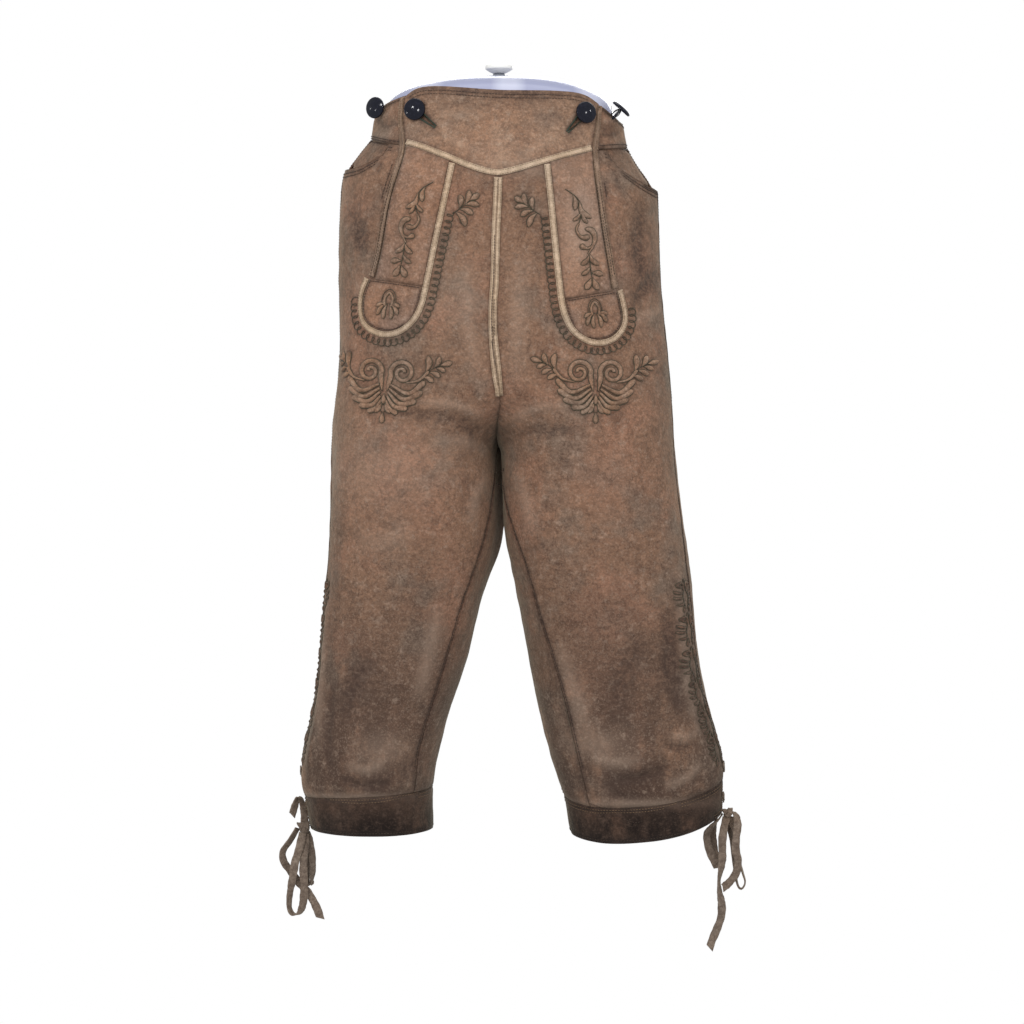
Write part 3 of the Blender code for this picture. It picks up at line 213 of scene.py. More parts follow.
# %% The suede material
SHEEN_TINT = "#BDB59E"
COLLAGEN_IOR = 1.5
SUEDE_GRAIN = [  # size and depth in mm, detail, and stretch of each layer of bumps
    (38, 0.9, 3, ROUND_PATCHES),
    (9, 0.42, 4, (1, 1, 1.4)),
    (2.6, 0.20, 4, (1, 1, 1.3)),
    (0.9, 0.09, 2, ROUND_PATCHES),
]


def suede(name, base, rubbed, grey, dark, pale, low_darkening=0.0, low=(-0.45, -0.80), grain=1.0):
    """Worn suede in five colours. low_darkening is how much of the dark one grows between the low heights."""
    material, tree, shader = new_material(name)
    place = own_place(tree)
    elsewhere = add(tree, "VectorMath", {0: place, 1: (0.31, 0.17, 0.53)}).outputs[0]
    further = add(tree, "VectorMath", {0: place, 1: (-0.47, 0.61, 0.29)}).outputs[0]
    painted = {key: add(tree, "Attribute", {}, attribute_name=key).outputs["Fac"] for key in PAINTED}
    mottle = clouds(tree, place, 6.5, 7, 0.74, 0.38, 0.62, (1, 1, 1.5))
    soil_and_shade_breakup = maths(tree, "MULTIPLY_ADD", mottle, 0.5, 0.6)
    layers = [  # where, how much, and which colour
        (clouds(tree, place, 80, 5, 0.62, 0.44, 0.66), 0.7, rubbed),
        (clouds(tree, elsewhere, 60, 5, 0.6, 0.46, 0.66), 0.75, grey),
        (painted["warm"], 0.8, rubbed),
        (grime(tree, place, *low), 0.5 * low_darkening, grey),
        (grime(tree, place, *low), 0.86 * low_darkening, dark),
        (clouds(tree, further, 26, 5, 0.66, 0.50, 0.72), 0.42, dark),
        (mottle, 0.34, dark),
        (wrinkles(tree, place, 34, 0.016, (1, 1, 0.7)), 0.42, dark),
        (wrinkles(tree, further, 13, 0.022, (1, 1, 1.4)), 0.34, dark),
        (clouds(tree, elsewhere, 9, 6, 0.7, 0.52, 0.70), 0.30, pale),
        (clouds(tree, place, 2.4, 4, 0.7, 0.43, 0.59), 0.27, dark),
        (clouds(tree, further, 2.0, 4, 0.7, 0.50, 0.66), 0.20, pale),
        (flecks(tree, place, 21, 0.05, 0.55), 0.55, dark),
        (flecks(tree, further, 13, 0.06, 0.30), 0.28, pale),
        # Soil near seams, and painted shade in the troughs of creases, beside thread and in the crotch.
        (product(tree, painted["soil_and_shade"], soil_and_shade_breakup), 0.8, dark),
        (painted["pale"], 0.7, pale),
    ]
    colour = linear(base)
    for share, amount, code in layers:
        colour = blend_colour(tree, product(tree, share, amount), colour, linear(code))
    normal = {}
    for size, depth, detail, stretch in SUEDE_GRAIN:
        bumps = clouds(tree, place, size, detail, 0.6, 0.2, 0.8, stretch)
        bump = {"Height": bumps, "Distance": depth * grain * MM, "Strength": 0.9}
        normal = {"Normal": add(tree, "Bump", bump | normal).outputs[0]}
    finish = {
        "Base Color": colour,
        "Roughness": remap(tree, painted["soil_and_shade"], {"To Min": 0.94, "To Max": 0.74}),
        "IOR": COLLAGEN_IOR,
        "Specular IOR Level": 0.28,
        "Sheen Weight": 0.32,
        "Sheen Roughness": 0.42,
        "Sheen Tint": linear(SHEEN_TINT),
    }
    plug(tree, shader, finish | normal)
    return material


# %% The garment's suedes
FRONT_GRIME, BAND_GRIME = 1.0, 1.25
BAND_HEIGHTS = (-0.750, -0.800)
SUEDE = suede("suede_brown", "#896954", "#99705A", "#796A5D", "#3A2A23", "#B19B89", FRONT_GRIME)
SUEDE_BIB = suede("suede_flap", "#94755F", "#9F775D", "#846F60", "#42312A", "#B9A490")
SUEDE_PATCH = suede("suede_patch", "#92705B", "#A0775D", "#877164", "#48352B", "#BFA693")
BAND_COLOURS = ("#5A4336", "#664B3C", "#504239", "#1A120F", "#6E5A4E")
SUEDE_BAND = suede("suede_knee_band", *BAND_COLOURS, BAND_GRIME, BAND_HEIGHTS)
SUEDE_LIGHT = suede("suede_binding", "#CDB49A", "#C9AC8D", "#BBA894", "#7C6753", "#E0CEB8", grain=0.5)
SUEDE_EDGE = suede("suede_flap_edge", "#A38670", "#A98468", "#94806F", "#5C4A3F", "#C8B09A", grain=0.6)
SUEDE_LACE = suede("suede_lace", "#8A7A6C", "#8F7864", "#7F7368", "#43362E", "#B5A798", grain=0.7)
# A paler copy of the suede for the raised mounds: partly rubbed wear, partly a painted highlight on the
# relief.
SUEDE_RAISED_WEAR_AND_HIGHLIGHT = suede("suede_raised_wear_and_highlight", "#93745F", "#9E785C", "#867466", "#453429", "#C0AA96", grain=0.6)
print("suedes:", ", ".join(m.name for m in bpy.data.materials if m.name.startswith("suede")))

# %% [markdown]
# ## Fine leather from the frame's solids
#
# Each solid is a wall 2 to 3 mm thick, built of flat triangles. Joined in pairs they are the quads of a
# cage again, and Catmull-Clark subdivision turns that into smooth leather. The cut edges are marked as
# full creases first, so that the pieces still meet at their seams. Modelling the leather anew would also
# work, but it could then drift from the solids that it stands for.


# %% Subdividing a solid
LEATHER_LEVELS = 3
SHARP = math.radians(38)  # an edge that turns more than this is a cut edge
SAME_PLACE = 0.02  # mm
FLAT_PAIR, SQUARE_PAIR = math.radians(30), math.radians(50)  # how bent or slanted a quad may be


def link(name, mesh, material):
    thing = bpy.data.objects.new(name, mesh)
    bpy.context.collection.objects.link(thing)
    if material is not None:
        mesh.materials.clear()
        mesh.materials.append(material)
    return thing


def subdivided(node, levels):
    """A smooth, fine copy of a frame piece's mesh."""
    edit = bmesh.new()
    edit.from_mesh(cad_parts[node].data)
    bmesh.ops.remove_doubles(edit, verts=edit.verts, dist=SAME_PLACE * MM)
    limits = {"angle_face_threshold": FLAT_PAIR, "angle_shape_threshold": SQUARE_PAIR}
    bmesh.ops.join_triangles(edit, faces=edit.faces, **limits)
    crease = edit.edges.layers.float.new("crease_edge")
    for edge in edit.edges:
        edge[crease] = float(len(edge.link_faces) != 2 or edge.calc_face_angle() > SHARP)
    cage = bpy.data.meshes.new(node + "_cage")
    edit.to_mesh(cage)
    edit.free()
    thing = link(node + "_cage", cage, None)
    smooth = thing.modifiers.new("subdivision", "SUBSURF")
    smooth.levels = smooth.render_levels = levels
    fine = bpy.data.meshes.new_from_object(thing.evaluated_get(bpy.context.evaluated_depsgraph_get()))
    bpy.data.objects.remove(thing)
    bpy.data.meshes.remove(cage)
    return fine


def points_of(mesh):
    points = np.empty(len(mesh.vertices) * 3)
    mesh.vertices.foreach_get("co", points)
    return points.reshape(-1, 3)


def set_points(mesh, points):
    mesh.vertices.foreach_set("co", np.ascontiguousarray(points, dtype=np.float32).ravel())
    mesh.update()


def normals_of(mesh):
    return np.array([tuple(v.normal) for v in mesh.vertices])


LARGE = [f"{piece}_{leg}" for piece in ("front", "back") for leg in LEGS]
SMALL = [f"{piece}_{leg}" for piece in ("waistband", "knee_band") for leg in LEGS] + ["bib"]
fine = {node: subdivided(node, LEATHER_LEVELS) for node in LARGE}
fine |= {node: subdivided(node, LEATHER_LEVELS - 1) for node in SMALL}
print("leather:", {node: len(mesh.polygons) for node, mesh in fine.items()})

# %% [markdown]
# ## Creases, and where the leather is worn
#
# Leather keeps the folds of the body that wore it. The main ones are placed one by one, each as a soft
# trough or ridge along a line on the garment: drags from the crotch, small breaks above the knee bands,
# pulls between the buttons, and the bent seat and knees behind. A cloth simulation would give new folds
# each time a setting changes, and old leather folds where it always has.
# A point moves straight out from the middle of its leg, so two pieces that share a seam move as one.

# %% Which way is out
CoreRow = namedtuple("CoreRow", "z near far")  # the flat stretch of a leg's middle, from the centre plane
CORE = [
    CoreRow(-20, 0, 75),
    CoreRow(-200, 0, 105),
    CoreRow(-394, 50, 130),
    CoreRow(-520, 68, 133),
    CoreRow(-646, 92, 148),
    CoreRow(-730, 117, 162),
    CoreRow(-830, 122, 165),
]
CORE_Y = 4


def outward(points):
    """The level direction from the middle of the leg to each point."""
    z = points[:, 2] / MM
    rows = sorted(CORE)
    near = np.interp(z, [r.z for r in rows], [r.near for r in rows]) * MM
    far = np.interp(z, [r.z for r in rows], [r.far for r in rows]) * MM
    side = np.where(points[:, 0] < 0, -1.0, 1.0)
    middle = np.clip(points[:, 0] * side, near, far) * side
    out = np.stack([points[:, 0] - middle, points[:, 1] - CORE_Y * MM, np.zeros(len(z))], axis=1)
    return out / np.linalg.norm(out, axis=1, keepdims=True)


def faces_out(normals, places, least):
    """Which of the normals point out from the leg, by at least a cosine."""
    return np.sum(normals * outward(places), axis=1) > least


print("out, at the left hip:", outward(np.array([[-160.0, 0.0, -200.0]]) * MM).round(2))

# %% Finding the leather's face
def tree_of(meshes):
    """A search tree of several meshes' outer faces."""
    corners, faces = [], []
    for mesh in meshes:
        start = sum(len(c) for c in corners)
        points = points_of(mesh)
        corners.append(points)
        centres = np.array([tuple(p.center) for p in mesh.polygons])
        facing = np.array([tuple(p.normal) for p in mesh.polygons])
        shown = faces_out(facing, centres, 0.15)
        faces += [tuple(start + v for v in p.vertices) for p, s in zip(mesh.polygons, shown) if s]
    return BVHTree.FromPolygons([tuple(p) for p in np.concatenate(corners)], faces)


ground = tree_of(fine.values())
RAYS = {"front": (0, 1, 0), "back": (0, -1, 0), "left": (1, 0, 0), "right": (-1, 0, 0)}
FAR_OUT, CLOSE_OUT = 0.6, 0.12
SEAM_STEPS = (0, 1.2, -1.2, 2.4, -2.4)  # mm aside, where a ray would slip through a seam


def on(tree, face, across, z):
    """The place and direction of the leather seen from a face, at a place across and a height in mm."""
    ray = Vector(RAYS[face])
    axis = 0 if face in ("front", "back") else 1
    place = Vector((0, 0, z * MM))
    for aside in SEAM_STEPS:
        place[axis] = (across + aside) * MM
        hit, normal, _, _ = tree.ray_cast(place - ray * FAR_OUT, ray)
        if hit is not None and normal.dot(ray) < 0:
            hit[axis] = across * MM
            return np.array(hit), np.array(normal)
    place[axis] = across * MM
    hit, normal, _, _ = tree.find_nearest(place - ray * CLOSE_OUT)
    return np.array(hit), np.array(normal)


print("the flap's middle, in mm:", (on(ground, "front", 0, -60)[0] / MM).round(1))

# %% A smooth line through points
def run_of(line):
    """How far along a line each of its points lies."""
    return np.concatenate([[0], np.cumsum(np.linalg.norm(np.diff(line, axis=0), axis=1))])


CURVE_STEPS = 24  # between two given points


def smooth_line(points, gap):
    """Places every gap along a smooth curve through the points."""
    knots = np.asarray(points, float)
    ends = np.concatenate([[2 * knots[0] - knots[1]], knots, [2 * knots[-1] - knots[-2]]])
    dense = []
    for a, b, c, d in zip(ends, ends[1:], ends[2:], ends[3:]):
        for t in np.arange(0, 1, 1 / CURVE_STEPS):
            bend = (2 * a - 5 * b + 4 * c - d) * t**2 + (3 * b - a - 3 * c + d) * t**3
            dense.append(0.5 * (2 * b + (c - a) * t + bend))
    dense = np.array(dense + [knots[-1]])
    run = run_of(dense)
    at = np.linspace(0, run[-1], max(3, round(run[-1] / gap) + 1))
    return np.stack([np.interp(at, run, column) for column in dense.T], axis=1)


# %% The creases, placed one by one
# Each row has the points across and up, the half width, and the height: below 0 it is a trough. All in mm.
CREASE_ROWS = {
    "front": [
        # Drags from the crotch over the thighs.
        ([(-14, -374), (-42, -362), (-84, -357)], 5, 1.5),
        ([(-10, -386), (-48, -374), (-106, -370)], 6, -1.6),
        ([(-8, -408), (-34, -398), (-70, -398)], 7, 1.2),
        ([(-9, -430), (-22, -450), (-30, -486)], 8, 1.6),
        ([(12, -376), (40, -364), (70, -362)], 6, 1.2),
        ([(9, -396), (38, -386), (92, -388)], 6, -1.2),
        ([(10, -420), (26, -452), (34, -498)], 9, 1.4),
        # Pulls on the flap between its buttons.
        ([(-72, -50), (-30, -56), (24, -52), (70, -50)], 4, -0.9),
        ([(-64, -62), (-40, -66), (-12, -63)], 3.5, 0.7),
        ([(20, -60), (48, -66), (70, -64)], 3.5, -0.7),
        ([(-62, -82), (-38, -96), (-16, -106)], 5, 0.8),
        ([(66, -86), (40, -98), (18, -108)], 5, 0.8),
        ([(-6, -70), (2, -96), (0, -120)], 9, 0.9),
        # Waistband and hips.
        ([(-128, -62), (-116, -72), (-102, -70)], 3.5, -1.2),
        ([(-132, -78), (-118, -84), (-103, -80)], 3.5, 1.1),
        ([(-131, -54), (-120, -60), (-108, -57)], 2.8, 1.3),
        ([(-133, -88), (-122, -93), (-108, -90)], 3.0, -1.2),
        ([(122, -60), (114, -66), (105, -67)], 2.8, 1.3),
        ([(128, -74), (118, -80), (106, -82)], 3.0, -1.4),
        ([(131, -94), (121, -101), (108, -103)], 3.0, -1.2),
        ([(118, -66), (108, -80), (103, -92)], 3.5, -1.1),
        ([(128, -84), (118, -94), (106, -98)], 3.5, 1.0),
        ([(-160, -150), (-146, -172), (-140, -210)], 10, -1.6),
        ([(-150, -226), (-136, -250), (-128, -290)], 9, 1.3),
        ([(150, -150), (142, -190), (146, -232)], 10, -1.4),
        ([(168, -220), (146, -244), (138, -262)], 7, -1.8),
        ([(172, -262), (152, -268), (134, -280)], 7, 1.3),
        # Along the centre front.
        ([(-30, -210), (-26, -280), (-18, -340)], 9, 1.0),
        ([(26, -200), (24, -280), (17, -350)], 9, 1.1),
        # Left leg, above its band and down its side.
        ([(-176, -560), (-184, -640), (-186, -716)], 7, 1.4),
        ([(-170, -640), (-176, -700), (-172, -744)], 6, -1.6),
        ([(-164, -742), (-136, -752), (-108, -746)], 5, -1.9),
        ([(-158, -728), (-138, -734), (-116, -728)], 5, 1.3),
        ([(-104, -738), (-88, -728), (-78, -706)], 6, -1.3),
        ([(-60, -560), (-70, -610), (-84, -668)], 9, 1.5),
        ([(-128, -610), (-150, -650), (-160, -690)], 12, -1.3),
        ([(-86, -480), (-120, -500), (-152, -494)], 12, 0.9),
        # Right leg.
        ([(184, -520), (190, -600), (198, -660), (206, -700)], 6, 1.5),
        ([(172, -560), (176, -620), (186, -680)], 8, -1.5),
        ([(206, -690), (198, -700), (172, -702)], 5, 1.2),
        ([(204, -708), (186, -712), (164, -708)], 5, -1.5),
        ([(184, -728), (150, -742), (112, -748)], 6, -1.9),
        ([(210, -726), (196, -742), (170, -754)], 5, 1.6),
        ([(150, -722), (120, -728), (94, -722)], 7, 1.5),
        ([(98, -742), (122, -762), (150, -766)], 5, -1.5),
        ([(60, -600), (76, -650), (92, -700)], 9, 1.3),
        ([(150, -596), (128, -640), (120, -690)], 13, -1.4),
    ],
    "back": [
        # The seat, bent where the wearer sat.
        ([(-12, -330), (-60, -352), (-118, -356)], 8, -2.4),
        ([(-10, -352), (-58, -378), (-122, -384)], 8, 2.0),
        ([(-14, -392), (-60, -412), (-126, -408)], 7, -2.2),
        ([(12, -326), (66, -344), (126, -340)], 8, -2.2),
        ([(10, -350), (62, -372), (134, -372)], 8, 2.1),
        ([(14, -388), (70, -404), (138, -394)], 7, -2.2),
        ([(-40, -130), (-58, -180), (-62, -240)], 12, 1.2),
        ([(42, -136), (56, -190), (64, -250)], 12, 1.2),
        ([(-110, -150), (-128, -210), (-132, -290)], 12, -1.2),
        ([(112, -156), (132, -220), (140, -300)], 12, -1.2),
        # Behind the knees.
        ([(-186, -626), (-140, -648), (-84, -632)], 7, -2.4),
        ([(-184, -650), (-134, -670), (-88, -660)], 7, 1.9),
        ([(-186, -690), (-138, -700), (-92, -684)], 6, -2.1),
        ([(-172, -738), (-130, -746), (-92, -736)], 6, 1.6),
        ([(70, -616), (126, -642), (190, -624)], 7, -2.4),
        ([(78, -646), (132, -664), (198, -650)], 7, 1.9),
        ([(84, -676), (146, -692), (206, -676)], 6, -2.0),
        ([(98, -722), (150, -734), (206, -718)], 6, 1.6),
        ([(-100, -440), (-120, -520), (-118, -590)], 14, 1.4),
        ([(100, -440), (124, -520), (130, -580)], 14, 1.4),
    ],
    "left": [
        # Down the sides.
        ([(-30, -330), (-10, -420), (6, -520)], 12, 1.4),
        ([(30, -560), (14, -620), (24, -690)], 10, -1.6),
    ],
    "right": [
        ([(34, -320), (16, -420), (10, -520)], 12, 1.4),
        ([(30, -560), (18, -620), (26, -680)], 10, -1.6),
    ],
}
Crease = namedtuple("Crease", "face points half_width height")
CREASES = [Crease(face, *row) for face, rows in CREASE_ROWS.items() for row in rows]
print("creases:", len(CREASES))

# %% How far they lift or drop the leather
CREASED = 1.4  # all creases together
CREASE_REACH = 2.6  # half widths


def crease_heights(points):
    """How far every crease lifts or drops each point, in metres: all ridges, and all troughs."""
    ridge, trough = np.zeros(len(points)), np.zeros(len(points))
    for crease in CREASES:
        line = smooth_line(crease.points, crease.half_width * 0.35)
        line = np.array([on(ground, crease.face, *spot)[0] for spot in line])
        reach = crease.half_width * MM * CREASE_REACH
        close = np.all((points > line.min(0) - reach) & (points < line.max(0) + reach), axis=1)
        if not close.any():
            continue
        gaps = np.linalg.norm(points[close][:, None] - line[None], axis=2)
        share = gaps.argmin(axis=1) / (len(line) - 1)
        fade = np.sin(math.pi * np.clip(share, 0, 1)) ** 0.6
        across = np.exp(-((gaps.min(axis=1) / (crease.half_width * MM)) ** 2))
        (ridge if crease.height > 0 else trough)[close] += CREASED * crease.height * MM * fade * across
    return ridge, trough


WAVES = [  # height in mm, waves per metre each way, and where each starts
    (0.34, (7.1, 3.3, 5.9), 0.4),
    (0.28, (-5.2, 9.4, 7.7), 1.9),
    (0.22, (13.1, -11.0, 9.2), 3.1),
    (0.13, (31, 27, -24), 0.8),
    (0.12, (-39, 22, 33), 2.2),
    (0.10, (27, -44, 41), 4.0),
]


def unevenness(points):
    """The hide's own slow waves, about half a millimetre high."""
    return MM * sum(high * np.sin(2 * math.pi * points @ np.array(way) + start) for high, way, start in WAVES)


print("the hide's waves, all at their highest:", round(sum(wave[0] for wave in WAVES), 2), "mm")

# %% [markdown]
# The garment has also slid as a whole in places. The centre front leans to the left and comes back, the
# crotch hangs open in a narrow dark fold, and behind it the seat's slack closes the view between the legs.
# The pocket facings come out level with the back at the side seam they are sewn into.

# %% Slides
LEAN = [  # height, and how far the centre front leans there
    (-420, 0),
    (-385, -0.6),
    (-362, 1.2),
    (-346, 0.2),
    (-332, -1.4),
    (-310, -3.8),
    (-288, -5.6),
    (-262, -5.8),
    (-232, -3.9),
    (-183, -2.6),
    (-140, -0.6),
    (-90, 0),
]
CROTCH_Z, CROTCH_OPEN = -392, 4.0
FLY_TOP, FLY_MIDDLE, FLY_FOOT = -118, -325, -412
FLY_SHUT, FLY_FOOT_SHUT = 1.25, 1.5  # the second is added below the middle
SEAT_SLACK = {"left": 13.0, "right": 5.5}
SEAT_Y, SEAT_TOP, SEAT_END = 46, -388, -575


def ease(t):
    t = np.clip(t, 0, 1)
    return t * t * (3 - 2 * t)


def bell(t, wide):
    """1 in the middle, and next to nothing at twice the width."""
    return np.exp(-((t / wide) ** 2))


def drape(points):
    """The slow slides of the cloth, in metres."""
    x, y, z = (points / MM).T
    left = x < 0
    lean = smooth_line(LEAN, 1.0)
    slide = np.interp(z, lean[:, 0], lean[:, 1], 0, 0) * bell(x, 46) * (y < -20)
    opening = bell(z - CROTCH_Z, 26) * bell(x, 26) * (y < 12) * ease((12 - y) / 40)
    slide -= CROTCH_OPEN * opening * left
    shut = FLY_SHUT * ease((FLY_TOP - z) / 8) * ease((z - FLY_FOOT - 7) / 16)
    shut = shut + FLY_FOOT_SHUT * ease((z - FLY_FOOT) / 14) * ease((FLY_MIDDLE - z) / 25)
    slide -= shut * np.sign(x) * bell(x, 11) * (y < -8)
    fold = ease((z - SEAT_END) / 80) * ease((SEAT_TOP - z) / 18) * bell(y - SEAT_Y, 34)
    fold *= ease((46 - np.abs(x)) / 40)
    slide += fold * np.where(left, SEAT_SLACK["left"], SEAT_SLACK["right"])
    return np.stack([slide, 0 * slide, 0 * slide], axis=1) * MM


print("the centre front leans by up to", max(abs(far) for _, far in LEAN), "mm")

# %% [markdown]
# ## Rubbed, greasy and faded places
#
# Beside the noise in the material, a few places are painted: soil runs along every seam, the inner thighs
# by the crotch are darker, as painted shade between the legs, and hands and chair seats have rubbed others
# warm or pale. Each is a soft blob of a size in mm.

# %% Where it is worn
BLOB_ROWS = {  # what it is and where: x, z, half width and half height in mm, and how strong
    ("soil_and_shade", "front"): [
        # The first two rows darken the crotch between the legs: painted shade.
        (-4, -400, 12, 60, 0.25),
        (2, -470, 14, 50, 0.15),
        (-150, -184, 26, 18, 0.35),
        (-160, -228, 14, 26, 0.3),
        (-36, -390, 26, 12, 0.5),
        (34, -150, 22, 30, 0.25),
        (160, -228, 22, 24, 0.6),
        (142, -194, 22, 40, 0.3),
        (172, -330, 10, 70, 0.4),
        (116, -592, 46, 60, 0.18),
        (-172, -520, 12, 90, 0.35),
        (176, -640, 30, 46, 0.5),
        (190, -560, 14, 60, 0.4),
        (130, -744, 50, 12, 0.45),
        (-128, -742, 34, 12, 0.5),
        (-140, -660, 34, 60, 0.35),
        (-76, -560, 18, 70, 0.35),
    ],
    ("soil_and_shade", "back"): [
        (0, -390, 40, 40, 0.6),
    ],
    ("warm", "front"): [
        (-150, -156, 22, 18, 0.9),
        (-152, -262, 20, 26, 0.7),
        (-38, -158, 26, 24, 0.8),
        (128, -216, 26, 18, 0.9),
        (108, -430, 40, 40, 0.65),
        (104, -600, 34, 70, 0.6),
        (14, -480, 22, 50, 0.5),
        (-110, -450, 50, 50, 0.4),
        (-30, -96, 44, 22, 0.5),
        (84, -210, 18, 30, 0.5),
    ],
    ("warm", "back"): [
        (-60, -210, 50, 60, 0.5),
        (64, -220, 50, 60, 0.5),
    ],
    ("pale", "front"): [
        (-50, -255, 26, 50, 0.12),
        (26, -120, 50, 12, 0.25),
        (-120, -420, 60, 36, 0.22),
        (100, -708, 30, 16, 0.3),
        (-120, -712, 26, 18, 0.25),
        (-140, -763, 70, 4, 0.45),
        (165, -771, 75, 5, 0.5),
        (84, -182, 20, 46, 0.38),
    ],
    ("pale", "back"): [
        (-70, -270, 60, 50, 0.3),
        (74, -270, 60, 50, 0.3),
    ],
}
Blob = namedtuple("Blob", "kind face x z wide tall amount")
BLOBS = [Blob(*place, *row) for place, rows in BLOB_ROWS.items() for row in rows]
print("worn places:", len(BLOBS))

# %% Painting the wear, and painted shade in creases
SOIL_WIDTH = 5.0  # how far soil spreads from a seam
# The troughs of creases are darkened by up to the second of these, as painted shade.
SEAM_SOIL, FOLD_SHADE, RIDGE_PALE = 0.65, 0.65, 0.30  # the most of each
TROUGH_DEPTH, RIDGE_HEIGHT = 2.3, 6.5  # mm of a fold that would give a whole share
FRONT_FACING = 0.25  # a point is on the front where the way out has a y below this
SWEPT_GAP = 3.0  # mm from a seam that counts for a swept piece


def rim_vertices(mesh):
    """Which vertices lie on a cut edge."""
    edit = bmesh.new()
    edit.from_mesh(mesh)
    rim = np.zeros(len(edit.verts), bool)
    for edge in edit.edges:
        if edge.calc_face_angle(0.0) > SHARP:
            rim[edge.verts[0].index] = rim[edge.verts[1].index] = True
    edit.free()
    return rim


def distance_to(points, marks):
    """Distance from each point to the nearest of the marks."""
    search = KDTree(len(marks))
    for index, mark in enumerate(marks):
        search.insert(mark, index)
    search.balance()
    return np.array([search.find(point)[2] for point in points])


def paint(mesh, rim_gap, ridge=0.0, trough=0.0):
    """Stores what the suede reads, from the distance to a seam and the folds, for all vertices or each."""
    points = points_of(mesh)
    x, _, z = (points / MM).T
    front = outward(points)[:, 1] < FRONT_FACING
    values = {key: np.zeros(len(points)) for key in PAINTED}
    for blob in BLOBS:
        away = ((x - blob.x) / blob.wide) ** 2 + ((z - blob.z) / blob.tall) ** 2
        values[blob.kind] += blob.amount * np.exp(-away) * (front == (blob.face == "front"))
    # Painted shade: the troughs of creases are made darker.
    folds = np.clip(-trough / MM / TROUGH_DEPTH, 0, FOLD_SHADE)
    values["soil_and_shade"] += SEAM_SOIL * bell(rim_gap, SOIL_WIDTH * MM) + folds
    values["pale"] += np.clip(ridge / MM / RIDGE_HEIGHT, 0, RIDGE_PALE)
    for key, value in values.items():
        layer = mesh.attributes.new(key, "FLOAT", "POINT")
        layer.data.foreach_set("value", np.clip(value, 0, 1).astype(np.float32))


def with_wear(thing):
    """Gives a swept piece the painted values that the suede's material reads."""
    paint(thing.data, SWEPT_GAP * MM)
    return thing


# %% [markdown]
# ## The main leather pieces
#
# Each panel is now shaped and painted. Its cut edge is also turned down a little where it is sewn, since
# a seam pulls the leather in.

# %% Shaping the panels
SEAM_DROP, SEAM_TURN = 0.75, 2.2  # how far a sewn edge turns down, and over what width
OUTER = 0.2  # the least cosine between a normal and the way out on a wall's outer face
Cut = namedtuple("Cut", "wide long area")  # metres, and square metres of leather


def finish_piece(node, mesh, material, sharp=50):
    """Links a piece, lets it ride, and hides the frame piece that it stands for."""
    mesh.shade_smooth()
    mesh.set_sharp_from_angle(angle=math.radians(sharp))
    thing = link(node + "_fine", mesh, material)
    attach(thing, "root")
    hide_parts(node)
    return thing


PANEL_SUEDE = {"bib": SUEDE_BIB, "knee_band_left": SUEDE_BAND, "knee_band_right": SUEDE_BAND}
flat_ground = ground  # the leather before it is creased
leather = {}
for node, mesh in fine.items():
    points = points_of(mesh)
    out = outward(points)
    rim_gap = distance_to(points, points[rim_vertices(mesh)])
    ridge, trough = crease_heights(points)
    drop = SEAM_DROP * MM * bell(rim_gap, SEAM_TURN * MM) * faces_out(normals_of(mesh), points, OUTER)
    lifted = out * (ridge + trough + unevenness(points) - drop)[:, None]
    set_points(mesh, points + drape(points) + lifted)
    paint(mesh, rim_gap, ridge, trough)
    leather[node] = finish_piece(node, mesh, PANEL_SUEDE.get(node, SUEDE))
ground = tree_of(fine.values())
print("panels shaped:", len(leather))

# %% [markdown]
# ## Pieces that lie on the panels
#
# Tongues, patches, bindings and vent laces are sewn on top. Each follows the leather below it: every
# point is moved by as much as the nearest leather was, and drawn down until the piece all but touches it.

# %% Laying the small pieces on
RESTS = 0.65  # how far a laid piece is drawn down, since the solids keep a gap to it
PROBE = 0.02  # metres above the leather, where the search for it starts
MOST = 4.0  # the furthest that a point is moved


def lay_on(mesh):
    """Lets a piece follow the leather below it."""
    points = points_of(mesh)
    out = outward(points)
    slid = points + drape(points)
    moved = []
    for point, there, way in zip(points, slid, out):
        over = np.dot(point - np.array(flat_ground.find_nearest(point)[0]), way)
        hit = ground.ray_cast(Vector(there + way * PROBE), Vector(-way), 2 * PROBE)[0]
        moved.append(0.0 if hit is None else float(np.dot(np.array(hit) - there, way) + over))
    shift = np.clip(moved, -MOST * MM, MOST * MM)
    set_points(mesh, slid + out * (shift - RESTS * MM)[:, None])


LAID = {f"{piece}_{leg}": SUEDE_PATCH for piece in ("tongue", "patch") for leg in LEGS}
LAID |= {f"{piece}_{leg}": SUEDE_LIGHT for piece in ("binding_tongue", "binding_fly") for leg in LEGS}
LAID |= {"binding_v": SUEDE_LIGHT, "flap_edge_left": SUEDE_EDGE, "flap_edge_right": SUEDE_EDGE}
LAID |= {f"vent_lace_{leg}_{number}": SUEDE_LACE for leg in LEGS for number in (1, 2)}
EDGE_TOP, EDGE_DRAWN = -62, 0.28  # above this height the right flap edge is drawn down by this share
LAID_GAP = 2.5  # mm added to the distance from a laid piece's rim, which gathers less soil than a seam
laid = {}
for node, material in LAID.items():
    mesh = subdivided(node, 2)
    if node == "flap_edge_right":
        points = points_of(mesh)
        points[:, 2] -= EDGE_DRAWN * np.clip(points[:, 2] - EDGE_TOP * MM, 0, None)
        set_points(mesh, points)
    lay_on(mesh)
    points = points_of(mesh)
    paint(mesh, distance_to(points, points[rim_vertices(mesh)]) + LAID_GAP * MM)
    laid[node] = finish_piece(node, mesh, material)
MOUTH_FOOT = {"left": -112, "right": -133}
WAIST_FOOT = {"left": -82, "right": -91}
FACING_RISE = 3.3
